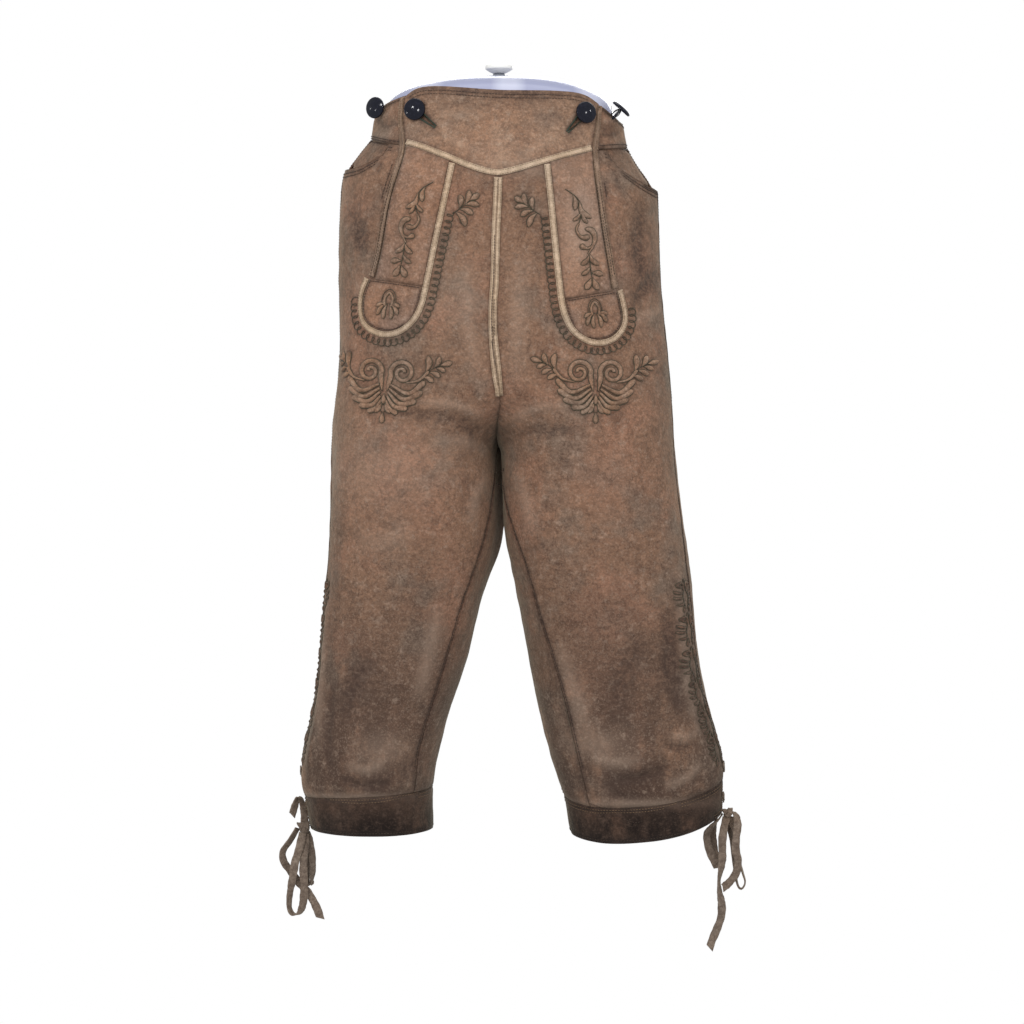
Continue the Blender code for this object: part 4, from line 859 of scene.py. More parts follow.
for leg in LEGS:
    node = f"pocket_facing_{leg}"
    mesh = subdivided(node, 3)
    points = points_of(mesh)
    x, y, z = (points / MM).T
    rise = ease((y + 46) / 26) * ease((z - MOUTH_FOOT[leg]) / 9) * ease((WAIST_FOOT[leg] - z) / 6)
    set_points(mesh, points + outward(points) * (FACING_RISE * MM * rise)[:, None])
    paint(mesh, SWEPT_GAP * MM)
    laid[node] = finish_piece(node, mesh, SUEDE)
surface = tree_of(list(fine.values()) + [thing.data for thing in laid.values()])
print("laid pieces:", len(laid))

# %% [markdown]
# ## Stitches
#
# A saddler's stitch is a short length of waxed thread that dives into the leather at both ends, so it
# stands proud only in its middle. Each one here is a small spindle, and a row of them runs at an even
# distance from a cut edge, as a machine's foot keeps it. A bump texture could only pretend to that.


# %% Thread, and a row of stitches
class Sewing:
    """Collects many small shapes into one mesh."""

    def __init__(self):
        self.points, self.faces, self.count = [], [], 0

    def store(self, rows):
        """Keeps rows of points, and gives the number of each row's first point."""
        firsts = [self.count + j * len(rows[0]) for j in range(len(rows))]
        self.points.append(np.concatenate(rows))
        self.count += len(rows) * len(rows[0])
        return firsts

    def put(self, rings):
        """Joins rings of points, each an array of the same length, into a skin with closed ends."""
        firsts, sides = self.store(rings), len(rings[0])
        for a, b in zip(firsts, firsts[1:]):
            self.faces += [(a + k, a + (k + 1) % sides, b + (k + 1) % sides, b + k) for k in range(sides)]
        self.faces.append(tuple(firsts[0] + k for k in reversed(range(sides))))
        self.faces.append(tuple(firsts[-1] + k for k in range(sides)))

    def sheet(self, rows):
        """Joins rows of points into an open sheet."""
        firsts = self.store(rows)
        for a, b in zip(firsts, firsts[1:]):
            self.faces += [(a + k, b + k, b + k + 1, a + k + 1) for k in range(len(rows[0]) - 1)]

    def piece(self, name, material):
        mesh = bpy.data.meshes.new(name)
        mesh.from_pydata([tuple(p) for p in np.concatenate(self.points)], [], self.faces)
        mesh.shade_smooth()
        thing = link(name, mesh, material)
        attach(thing, "root")
        print(f"{name}: {len(self.faces)} faces")
        return thing


def unit(v):
    return v / np.maximum(np.linalg.norm(v, axis=-1, keepdims=True), 1e-12)


ROUND = 6  # sides of a thread
STITCH_AT = np.array([0, 0.16, 0.5, 0.84, 1.0])  # along a stitch
STITCH_RISE = np.array([-0.7, 0.25, 0.6, 0.25, -0.7])  # in radii, as is its girth
STITCH_GIRTH = np.array([0.5, 0.95, 1.05, 0.95, 0.5])


def thread(sewing, line, up, radius, lift=0.0):
    """A thread along a line of points, each with its own way up. radius is a number or one for each point."""
    along = unit(np.gradient(line, axis=0))
    aside = unit(np.cross(along, up))
    up = np.cross(aside, along)
    radius = np.broadcast_to(radius, len(line))
    turn = np.arange(ROUND)[:, None] * 2 * math.pi / ROUND
    rows = zip(line, up, aside, radius)
    sewing.put([p + u * lift + r * (np.cos(turn) * s + np.sin(turn) * u) for p, u, s, r in rows])


def stitches(sewing, line, up, pitch, length, radius):
    """A row of stitches along a line of points in metres. The sizes are in mm."""
    run = run_of(line)
    for start in np.arange(pitch * 0.3 * MM, run[-1] - length * MM, pitch * MM):
        at = start + length * MM * STITCH_AT
        spots = np.stack([np.interp(at, run, line[:, k]) for k in range(3)], axis=1)
        ways = unit(np.stack([np.interp(at, run, up[:, k]) for k in range(3)], axis=1))
        spots = spots + ways * (radius * MM * STITCH_RISE)[:, None]
        thread(sewing, spots, ways, radius * MM * STITCH_GIRTH)


# %% [markdown]
# The line for a row is the piece's own cut edge, moved inward. The edge is read from the fine mesh: it is
# where the leather's face meets its cut side. A row stops at a corner, and so does the walk along the edge.


# %% The cut edge
STRAIGHT = 0.6  # the least cosine of a turn within a row
FACE_OUT, SIDE_OUT = 0.35, 0.6  # cosines: a face looks out at least so far, and a cut side at most so far
SHORTEST = 6  # points in a row


def cut_edge_links(edit):
    """The neighbours of each vertex on a piece's outer cut edge, and its direction into the piece."""
    links, inward = {}, {}
    for edge in edit.edges:
        if edge.calc_face_angle(0.0) <= SHARP:
            continue
        middle = np.array((edge.verts[0].co + edge.verts[1].co) / 2)
        out = outward(middle[None])[0]
        face = max(edge.link_faces, key=lambda f: np.dot(f.normal, out))
        side = min(edge.link_faces, key=lambda f: np.dot(f.normal, out))
        if np.dot(face.normal, out) < FACE_OUT or np.dot(side.normal, out) > SIDE_OUT:
            continue
        into = unit(np.array(face.calc_center_median()) - middle)
        for one, other in (edge.verts, reversed(edge.verts)):
            links.setdefault(one.index, []).append(other.index)
            inward[one.index] = inward.get(one.index, 0) + into
    return links, inward


def walk(chain, links, left, places):
    """Follows the edge onward from the chain's last point, and stops at a corner."""
    while True:
        here = chain[-1]
        onward = [v for v in links[here] if v in left]
        if onward and len(chain) > 1:
            way = unit(places[here] - places[chain[-2]])
            turns = [np.dot(way, unit(places[v] - places[here])) for v in onward]
            onward = [onward[int(np.argmax(turns))]] if max(turns) >= STRAIGHT else []
        if not onward:
            return
        chain.append(onward[0])
        left.discard(onward[0])


def cut_edges(mesh):
    """Ordered runs of points along the outer cut edge, each with its direction into the piece."""
    edit = bmesh.new()
    edit.from_mesh(mesh)
    links, inward = cut_edge_links(edit)
    places = {v.index: np.array(v.co) for v in edit.verts if v.index in links}
    edit.free()
    left = set(links)
    while left:
        chain = [min(left)]
        left.discard(chain[0])
        walk(chain, links, left, places)
        chain.reverse()
        walk(chain, links, left, places)
        if chain[0] in links[chain[-1]] and len(chain) > 8:
            chain.append(chain[0])
        if len(chain) >= SHORTEST:
            yield np.array([places[v] for v in chain]), np.array([unit(inward[v]) for v in chain])


print("runs of cut edge on the bib:", len(list(cut_edges(fine["bib"]))))

# %% Lines beside it
SMOOTHED = 6  # points on each side that a row's direction is averaged over
CLEAR = 0.65  # of its inset: a row that comes nearer than that has met another edge


def smoothed(rows):
    """A moving average along rows of numbers."""
    padded = np.concatenate([rows[:1].repeat(SMOOTHED, 0), rows, rows[-1:].repeat(SMOOTHED, 0)])
    even = np.ones(2 * SMOOTHED + 1) / (2 * SMOOTHED + 1)
    return np.stack([np.convolve(column, even, "valid") for column in padded.T], 1)


def edge_rows(mesh, inset, wanted):
    """Lines on the surface at an inset from the cut edge, where wanted says so of a point in mm."""
    for rim, inward in cut_edges(mesh):
        line = rim + unit(smoothed(inward)) * inset * MM
        clear = distance_to(line, rim) > CLEAR * inset * MM
        good = clear & np.array([bool(wanted(*(p / MM))) for p in line])
        breaks = np.flatnonzero(np.diff(np.concatenate([[0], good, [0]])))
        for start, end in zip(breaks[::2], breaks[1::2]):
            if end - start >= SHORTEST:
                yield line[start:end]


ROW_PROBE = 0.012  # metres above the leather


def settle_line(line):
    """Drops a line onto whatever leather is on top, and gives the way up at each point."""
    spots, ways = [], []
    for point, way in zip(line, outward(line)):
        hit, normal, _, _ = surface.ray_cast(Vector(point + way * ROW_PROBE), Vector(-way), 2 * ROW_PROBE)
        if hit is None:
            hit, normal, _, _ = surface.find_nearest(Vector(point))
        spots.append(hit)
        ways.append(normal)
    return np.array(spots), np.array(ways)


grooves = []  # where thread has drawn the leather in


def sew_rows(sewing, rows, pitch=3.1, length=2.3, radius=0.36):
    """rows are (piece, inset, wanted). Sizes are in mm."""
    for node, inset, wanted in rows:
        mesh = fine[node] if node in fine else laid[node].data
        for line in edge_rows(mesh, inset, wanted):
            spots, ways = settle_line(line)
            grooves.append(spots)
            stitches(sewing, spots, ways, pitch, length, radius)


# %% The threads
def waxed_thread(name, code, rough=0.6):
    """Waxed linen thread: a little gloss from its wax, and a colour that its wear has broken up."""
    material, tree, shader = new_material(name)
    worn = clouds(tree, own_place(tree), 14, 3, 0.6, 0.4, 0.7)
    darker = tuple(c * 0.62 for c in linear(code)[:3]) + (1.0,)
    colour = blend_colour(tree, worn, linear(code), darker)
    plug(tree, shader, {"Base Color": colour, "Roughness": rough, "IOR": 1.5})
    return material


BROWN_THREAD = waxed_thread("linen_thread_brown", "#3A2B22")
TAN_THREAD = waxed_thread("linen_thread_tan", "#6E5740")
OLIVE_THREAD = waxed_thread("silk_thread_olive", "#433C2C", 0.55)
GREEN_THREAD = waxed_thread("silk_thread_green", "#3B463A", 0.5)
print("threads:", ", ".join(m.name for m in bpy.data.materials if "thread" in m.name))

# %% The sewn rows
def everywhere(x, y, z):
    return True


def leg_seam(x, y, z):
    return -735 < z < -132 and abs(x) > 4


def pocket_mouth(x, y, z):
    return abs(x) > 108 and z > -150 and y < -12


brown = Sewing()
rows = [("bib", inset, lambda x, y, z: z > -54 and abs(x) < 94) for inset in (4.8, 8.6)]
for leg in LEGS:
    rows += [
        (f"front_{leg}", 4.4, pocket_mouth),
        (f"front_{leg}", 8.2, pocket_mouth),
        (f"front_{leg}", 2.4, leg_seam),
        (f"back_{leg}", 2.4, lambda x, y, z: abs(x) < 14 and z > -380),
        (f"back_{leg}", 2.6, lambda x, y, z: z > -128),
        (f"waistband_{leg}", 3.2, lambda x, y, z: abs(x) > 100 or y > 0),
        (f"knee_band_{leg}", 3.4, lambda x, y, z: z < -776),
        (f"patch_{leg}", 1.6, everywhere),
    ]
sew_rows(brown, rows)
brown.piece("seam_stitches", BROWN_THREAD)
tan = Sewing()
trims = ["binding_v"] + [f"binding_{kind}_{leg}" for kind in ("tongue", "fly") for leg in LEGS]
trims += [f"flap_edge_{leg}" for leg in LEGS]
sew_rows(tan, [(node, 0.9, everywhere) for node in trims], 2.6, 1.9, 0.27)
band_rows = [(f"knee_band_{leg}", inset, lambda x, y, z: z > -792) for leg in LEGS for inset in (2.6, 5.8)]
sew_rows(tan, band_rows, 3.1, 2.2, 0.33)
tan.piece("binding_stitches", TAN_THREAD)

# %% [markdown]
# ## Raised ornament
#
# The fronts carry the ornament of alpine leather breeches: leaves, scrolls and a row of loops. It is made
# by stitching round a shape with strong silk and pressing up the leather inside, so each form is a soft
# mound with a dark line round it. One function makes any such form from its spine and its widths. The
# motifs are the craft's ordinary ones, and are drawn here in millimetres.


# %% Where a motif lies
Spot = namedtuple("Spot", "face x z size tilt mirror")
AS_GIVEN = Spot("front", 0, 0, 1, 0, 1)  # for points that are places on the front
HIP_TURN, HIP_ROUND = 140, 28  # past the first, what lies on the left hip turns away with it


def placed(spot, points):
    """Points of a motif, in mm, laid out on the garment."""
    points = np.asarray(points, float) * spot.size * (spot.mirror, 1)
    c, s = math.cos(math.radians(spot.tilt)), math.sin(math.radians(spot.tilt))
    across = spot.x + points[:, 0] * c - points[:, 1] * s
    if spot.face == "front":
        past = np.clip(-HIP_TURN - across, 0, None)
        across = across + past - HIP_ROUND * np.tanh(past / HIP_ROUND)
    return np.stack([across, spot.z + points[:, 0] * s + points[:, 1] * c], 1)


def drop_on(spot, points):
    """The places on the leather, and the way up at each."""
    found = [on(surface, spot.face, *place) for place in placed(spot, points)]
    return np.array([f[0] for f in found]), unit(np.array([f[1] for f in found]))


print("an ornament's furthest reach round the hip:", HIP_TURN + HIP_ROUND, "mm across")

# %% Outlines of a form
def petal(t, wide):
    """Half widths of a petal: fine at its foot and round at its tip."""
    return 0.12 + wide * np.sin(math.pi * t**1.6) ** 0.75


def swelling_band(t, wide):
    """Half widths of a band that swells slowly and ends round."""
    return wide * (0.30 + 0.70 * t**0.8) * np.sqrt(1.0 - np.clip((t - 0.87) / 0.135, 0, 1) ** 2)


FAT_END = [(0, 0.8), (0.55, 1.4), (0.84, 2.9), (0.94, 2.4), (1, 0.6)]  # share of the way, half width
FAT_START = [(0, 0.6), (0.06, 2.2), (0.22, 3.1), (0.6, 1.8), (1, 0.6)]
ARCH = [(-1.0, -0.5), (-0.8, 0.45), (-0.45, 0.88), (0.0, 1.0), (0.45, 0.88), (0.8, 0.45), (1.0, -0.5)]
print("points across a mound:", len(ARCH))

# %% Drawing with silk and padding
SILK, STEM = 0.44, 0.55  # radius of the silk round a form, and of a stem
SILK_LIFT = 0.15
MOUND = 2.5  # how far the leather stands up inside
FULL_HALF = 1.6  # half width from which a mound has its full height
ROLL_STEPS = 46


class Motif:
    """A motif at a spot. Its mounds go into the padding, and its lines of thread into the silk."""

    def __init__(self, spot, silk, padding=None):
        self.spot, self.silk, self.padding = spot, silk, padding

    def halves(self):
        """The motif, and its mirror image beside it."""
        for hand in (1, -1):
            spot = self.spot._replace(mirror=self.spot.mirror * hand)
            yield Motif(spot, self.silk, self.padding)

    def thread_on(self, points, radius=SILK, lift=SILK_LIFT):
        spots, ways = drop_on(self.spot, points)
        grooves.append(spots)
        thread(self.silk, spots, ways, radius * MM, lift * MM)

    def line(self, points, gap=1.1, radius=SILK):
        self.thread_on(smooth_line(points, gap), radius)

    def raised(self, spine, half_widths, height=MOUND):
        """A mound along a spine, with silk all round it."""
        along = unit(np.gradient(spine, axis=0))
        aside = np.stack([-along[:, 1], along[:, 0]], axis=1) * half_widths[:, None]
        columns = [drop_on(self.spot, spine + aside * a) for a, _ in ARCH]
        top = np.minimum(1.0, half_widths / FULL_HALF) * height * self.spot.size**0.5 * MM
        rows = [
            np.array([places[j] + ways[j] * top[j] * h for (places, ways), (_, h) in zip(columns, ARCH)])
            for j in range(len(spine))
        ]
        self.padding.sheet(rows)
        outline = np.concatenate([spine + aside * 1.02, (spine - aside * 1.02)[::-1]])
        self.line(np.concatenate([outline, outline[:1]]))

    def leaf(self, foot, tip, wide, bend=0.0, shape=petal, height=MOUND):
        """A leaf from its foot to its tip, bent sideways by a share of its length."""
        foot, tip = np.array(foot, float), np.array(tip, float)
        way = tip - foot
        middle = (foot + tip) / 2 + np.array([-way[1], way[0]]) * bend
        spine = smooth_line([foot, middle, tip], 1.1)
        self.raised(spine, shape(np.linspace(0, 1, len(spine)), wide), height)

    def leaves(self, rows, **settings):
        """Leaves, each given by its foot, its tip, its half width and its bend."""
        for foot, tip, wide, bend in rows:
            self.leaf(foot, tip, wide, bend, **settings)

    def scroll(self, foot, centre, radius, wide, turns, start):
        """A band that runs from its foot and rolls up round a centre."""
        t = np.linspace(0, 1, ROLL_STEPS)
        angle = np.radians(start - np.linspace(0, 360 * turns, ROLL_STEPS))
        shrink = radius * (1 - 0.84 * t**1.15)
        roll = np.stack([centre[0] + shrink * np.cos(angle), centre[1] + shrink * np.sin(angle)], 1)
        spine = smooth_line(np.concatenate([[foot], roll[::2]]), 1.2)
        t = np.linspace(0, 1, len(spine))
        self.raised(spine, 0.35 + wide * (1 - 0.45 * t) * np.minimum(1, t * 8), MOUND * 0.8)

    def curl(self, route, profile):
        """A band along a route, with a fat rounded end."""
        spine = smooth_line(route, 1.1)
        share, wide = zip(*profile)
        self.raised(spine, np.interp(np.linspace(0, 1, len(spine)), share, wide))


# %% [markdown]
# Each leg has a palmette on the thigh, a vine and a flower on the tongue and its patch, a sprig beside the
# flap's loops, and small curled branches down the side seam. A motif is drawn in a frame of its own, with
# z up the garment, and a spot then sizes it, turns it and mirrors it.

# %% The palmette
def palmette(motif):
    """Two scrolls over a fan of bands, with a sprig on each side and drops below."""
    for half in motif.halves():
        half.scroll((2.6, -6), (17.0, 13.5), 12.6, 2.5, 1.55, 200)
        fan = [
            ((6.0, 0.5), (41, 6.4), 3.5, -0.30),
            ((5.0, -3.5), (39, -4.4), 3.5, -0.28),
            ((4.2, -7.5), (33.5, -14.2), 3.5, -0.25),
            ((3.4, -11.5), (25.0, -22.6), 3.4, -0.21),
            ((2.6, -15.5), (15.2, -28.6), 3.0, -0.15),
        ]
        half.leaves(fan, shape=swelling_band)
        half.leaf((1.6, -18), (8.0, -29), 2.0, -0.08)
        half.line([(42, 15.5), (49, 21), (57, 25)], 1.2)
        half.leaf((22, 3.4), (44, 17.2), 2.0, -0.14, swelling_band)
        half.leaves([
            ((55, 24), (67, 28), 2.9, 0.0),
            ((51, 21), (61, 18), 2.4, 0.1),
            ((49, 21), (54, 33), 2.8, -0.1),
            ((45, 16.5), (56, 12), 2.6, 0.1),
            ((41, 15), (42, 33), 3.2, -0.12),
            ((38, 11.0), (50, 6.5), 2.6, 0.1),
        ])
    motif.leaf((0, -9), (0, -19.5), 2.4)
    motif.leaf((0, -28), (0, -39.5), 2.7)
    for u in (-4.2, 4.2):
        motif.line([(0, -20), (u, -23), (u * 0.3, -28)], 0.9)


# %% The vine
def vine(motif):
    """A stem that winds down a tongue: long leaves, three curls, and fat drops at its foot."""
    motif.line([(0, 0), (6, -4), (12, -9), (17, -18), (16, -28), (13, -37)], radius=STEM)
    motif.curl([(20, -41), (27, -43), (30, -50), (28, -58), (23, -67)], FAT_START)
    motif.curl([(13, -36), (11, -42), (14, -48.5), (19, -50.5), (24.5, -49)], FAT_END)
    motif.curl([(28.5, -57.5), (22, -61.5), (14.5, -58.5)], FAT_END)
    motif.line([(23.5, -65), (24.5, -77), (26, -91)], radius=STEM)
    motif.leaves([
        ((14.5, -12), (26.5, -30), 2.9, -0.2),
        ((8, -5.5), (9.5, -22), 2.6, 0.1),
        ((17, -24), (22.5, -35.5), 1.9, -0.1),
        ((16, -24), (7.5, -33), 1.7, 0.1),
        ((23.8, -66), (33.5, -78.5), 2.4, -0.14),
        ((23.8, -68), (15, -78.5), 2.4, 0.14),
        ((24.8, -80), (15.5, -89), 2.1, 0.1),
        ((26, -87), (37.5, -88.5), 2.9, 0.08),
        ((27, -91.5), (33, -104), 3.3, -0.05),
        ((25.5, -92), (19, -104), 3.3, 0.05),
    ])


# %% The small motifs
def flower(motif):
    """An arch over six drops, on a patch."""
    motif.line([(-7, -12), (-8, -3), (-6, 6), (0, 10.5), (6, 6), (8, -3), (7, -12)])
    inner = smooth_line([(-3.8, -8), (-4.4, 0), (0, 6.6), (4.4, 0), (3.8, -8)], 1.0)
    motif.raised(inner, np.full(len(inner), 1.3))
    for x, z, wide in (
        (-13, -10, 2.2),
        (-11, -19, 2.3),
        (-3.4, -23, 2.2),
        (5, -22.5, 2.2),
        (12, -17, 2.3),
        (13.5, -8.5, 2.2),
    ):
        motif.leaf((x * 0.25, -5.5), (x, z), wide, 0.10 * np.sign(x))


def sprig(motif):
    """A short branch of small leaves."""
    motif.line([(0, 0), (8, 3), (17, 8)])
    motif.leaves([
        ((17, 8), (27, 12), 2.7, 0.0),
        ((13, 5.5), (19, 17), 2.7, -0.1),
        ((12, 5), (25, 2), 2.5, 0.1),
        ((7, 3), (10, 15), 2.7, -0.1),
        ((7, 2.5), (18, -5), 2.6, 0.1),
        ((3, 1), (9, -14), 2.9, 0.12),
    ])


def side_branch(motif):
    """A curled branch with low leaves, beside the side seam."""
    motif.line([(2, 2), (3, -10), (7, -20), (3, -34)])
    motif.scroll((3, -12), (8.5, -6), 4.6, 1.3, 1.1, 220)
    leaves = [
        ((6, -15), (14, -12), 1.5, -0.2),
        ((7, -19), (15, -20), 1.5, -0.2),
        ((6, -24), (13, -29), 1.5, -0.2),
        ((4, -29), (8, -38), 1.5, 0.1),
    ]
    motif.leaves(leaves, height=MOUND * 0.6)


# %% The chain of loops
LOOPS_BESIDE, LOOP_ACROSS, LOOP_ALONG, LOOP_PITCH = 8.5, 3.5, 2.5, 6.6
LOOP_SILK, LOOP_LIFT = 0.42, 0.35


def loop_chain(silk, edge):
    """A row of small loops beside a binding's middle line, sewn as one running thread."""
    line = smooth_line(edge, 0.5)
    along = unit(np.gradient(line, axis=0))
    aside = np.stack([along[:, 1], -along[:, 0]], axis=1) * (1 if edge[0][0] > 0 else -1)
    line = line + aside * LOOPS_BESIDE
    turn = (2 * math.pi * run_of(line) / LOOP_PITCH)[:, None]
    path = line + along * LOOP_ALONG * np.sin(turn) + aside * LOOP_ACROSS * np.cos(turn)
    Motif(AS_GIVEN, silk).thread_on(path, LOOP_SILK, LOOP_LIFT)


# %% Where everything is sewn
EDGES = {  # the middle of the binding round each tongue and patch, from where its loops start
    "left": [
        (-56.5, -164), (-59.3, -177), (-66.5, -210), (-73.2, -241.5), (-76.4, -256), (-82, -269.5),
        (-92.5, -281.4), (-104.4, -287.4), (-115.5, -288.4), (-128.5, -284.2), (-137.8, -275),
        (-141.2, -262), (-140.2, -250),
    ],
    "right": [
        (54.3, -168), (56.2, -185), (60.2, -222), (64.2, -255), (68.2, -272), (76.5, -286.5),
        (89, -295.2), (101, -297.6), (114.9, -294.2), (125.2, -284), (128.8, -271.5), (127.4, -260),
    ],
}
SPOTS = {
    "left": {
        palmette: Spot("front", -115.5, -340, 0.99, -5, -1),
        vine: Spot("front", -66.5, -135, 0.94, -5.5, -1),
        flower: Spot("front", -111.5, -252, 0.92, -8, 1),
        sprig: Spot("front", -46.5, -167, 1.12, 12, 1),
    },
    "right": {
        palmette: Spot("front", 98.5, -341, 0.98, 0, 1),
        vine: Spot("front", 67.5, -142, 0.98, 1, 1),
        flower: Spot("front", 97.8, -262, 0.90, 6, 1),
        sprig: Spot("front", 42.0, -168, 1.05, -10, -1),
    },
}
BRANCH_Z = (-540, -575, -610, -642, -672, -700, -728)
BRANCH_Y = {  # in front of the side seam, at each of those heights
    "left": (-33, -32, -31, -28, -24, -20, -17),
    "right": (-55, -53, -50, -46, -41, -35, -28),
}
for leg in LEGS:
    padding, side_padding, silk = Sewing(), Sewing(), Sewing()
    for draw, spot in SPOTS[leg].items():
        draw(Motif(spot, silk, padding))
    loop_chain(silk, EDGES[leg])
    places = list(zip(BRANCH_Y[leg], BRANCH_Z))
    for (y, z), (next_y, next_z) in zip(places, places[1:]):
        lean = math.degrees(math.atan2(next_y - y, z - next_z))
        for branch in Motif(Spot(leg, y, z, 0.86, lean, 1), silk, side_padding).halves():
            side_branch(branch)
    padding.piece(f"ornament_padding_{leg}", SUEDE_RAISED_WEAR_AND_HIGHLIGHT)
    with_wear(side_padding.piece(f"ornament_padding_side_{leg}", SUEDE))
    silk.piece(f"ornament_silk_{leg}", OLIVE_THREAD)

# %% [markdown]
# ## Buttonholes and the wave on the knee band
#
# A worked buttonhole is oversewn: close stitches of silk lie across its edge, side by side. The right knee
# band has one free line of stitches that waves across it, a mend or an ornament that never was finished.

# %% Oversewn holes, and the wave
Hole = namedtuple("Hole", "x z end_x end_z half")
HOLES = [Hole(-81.5, -62.5, -65.4, -75.8, 2.4), Hole(84.0, -65.0, 71.2, -80.4, 2.0)]
HOLE_STITCH, HOLE_SILK, HOLE_LIFT = 0.62, 0.30, 0.12
OVERSEWN = (0.1, 0.9, 1.7)  # from the slit outward
WAVE = [
    (94, -771), (108, -776), (123, -783), (139, -790), (150, -788), (161, -781), (176, -779), (190, -783),
    (202, -778),
]
green = Sewing()
for hole in HOLES:
    start, end = np.array([hole.x, hole.z]), np.array([hole.end_x, hole.end_z])
    way = unit(end - start)
    side = np.array([-way[1], way[0]])
    length = np.linalg.norm(end - start) + 2.0
    for hand in (1, -1):
        for t in np.arange(0, length, HOLE_STITCH):
            half = hole.half * (1 - t / length) + 0.1
            line = [start + way * t + side * hand * (half + reach) for reach in OVERSEWN]
            Motif(AS_GIVEN, green).thread_on(line, HOLE_SILK, HOLE_LIFT)
green.piece("buttonhole_silk", GREEN_THREAD)
wave = Sewing()
stitches(wave, *drop_on(AS_GIVEN, smooth_line(WAVE, 1.0)), 3.0, 2.2, 0.32)
wave.piece("knee_band_wave", BROWN_THREAD)

# %% [markdown]
# ## Grooves and dirt beside the thread
#
# Thread draws the leather in, and dirt gathers in the dip that it makes. So the leather close to every
# row is pressed in a little and painted darker, as dirt and as painted shade in the grooves and between the
# raised forms.

# %% Grooves
GROOVE_DEEP, GROOVE_WIDE = 0.35, 1.3  # mm
# How much darker the leather is painted beside the thread, as dirt and as painted shade.
DIRT_AND_SHADE, DIRT_AND_SHADE_WIDE = 0.6, 2.0
TRIM_SHARE = 0.15  # of both, on bindings and edge strips
sewn = np.concatenate(grooves)
for node, thing in [*leather.items(), *laid.items()]:
    mesh = thing.data
    share = TRIM_SHARE if node.startswith(("binding", "flap_edge")) else 1.0
    points = points_of(mesh)
    gap = distance_to(points, sewn) / MM
    dip = GROOVE_DEEP * share * MM * bell(gap, GROOVE_WIDE) * faces_out(normals_of(mesh), points, OUTER)
    set_points(mesh, points - outward(points) * dip[:, None])
    layer = mesh.attributes["soil_and_shade"]
    soil_and_shade = np.zeros(len(points), np.float32)
    layer.data.foreach_get("value", soil_and_shade)
    # Darker beside the thread: dirt, and painted shade in the grooves and in the gaps between raised forms.
    soil_and_shade = soil_and_shade + DIRT_AND_SHADE * share * bell(gap, DIRT_AND_SHADE_WIDE)
    layer.data.foreach_set("value", np.clip(soil_and_shade, 0, 1).astype(np.float32))
print("grooves beside", len(sewn), "points of thread")

# %% [markdown]
# ## Knee laces
#
# Each lace is one strip of thin leather, 8 mm wide, tied in a bow below the knee band's vent. It is swept
# along its route with its own twist, a little cupped as cut leather dries, and its ends are cut slanting.
# Every route is in mm, with the direction of the strip's width as an angle from across to back.

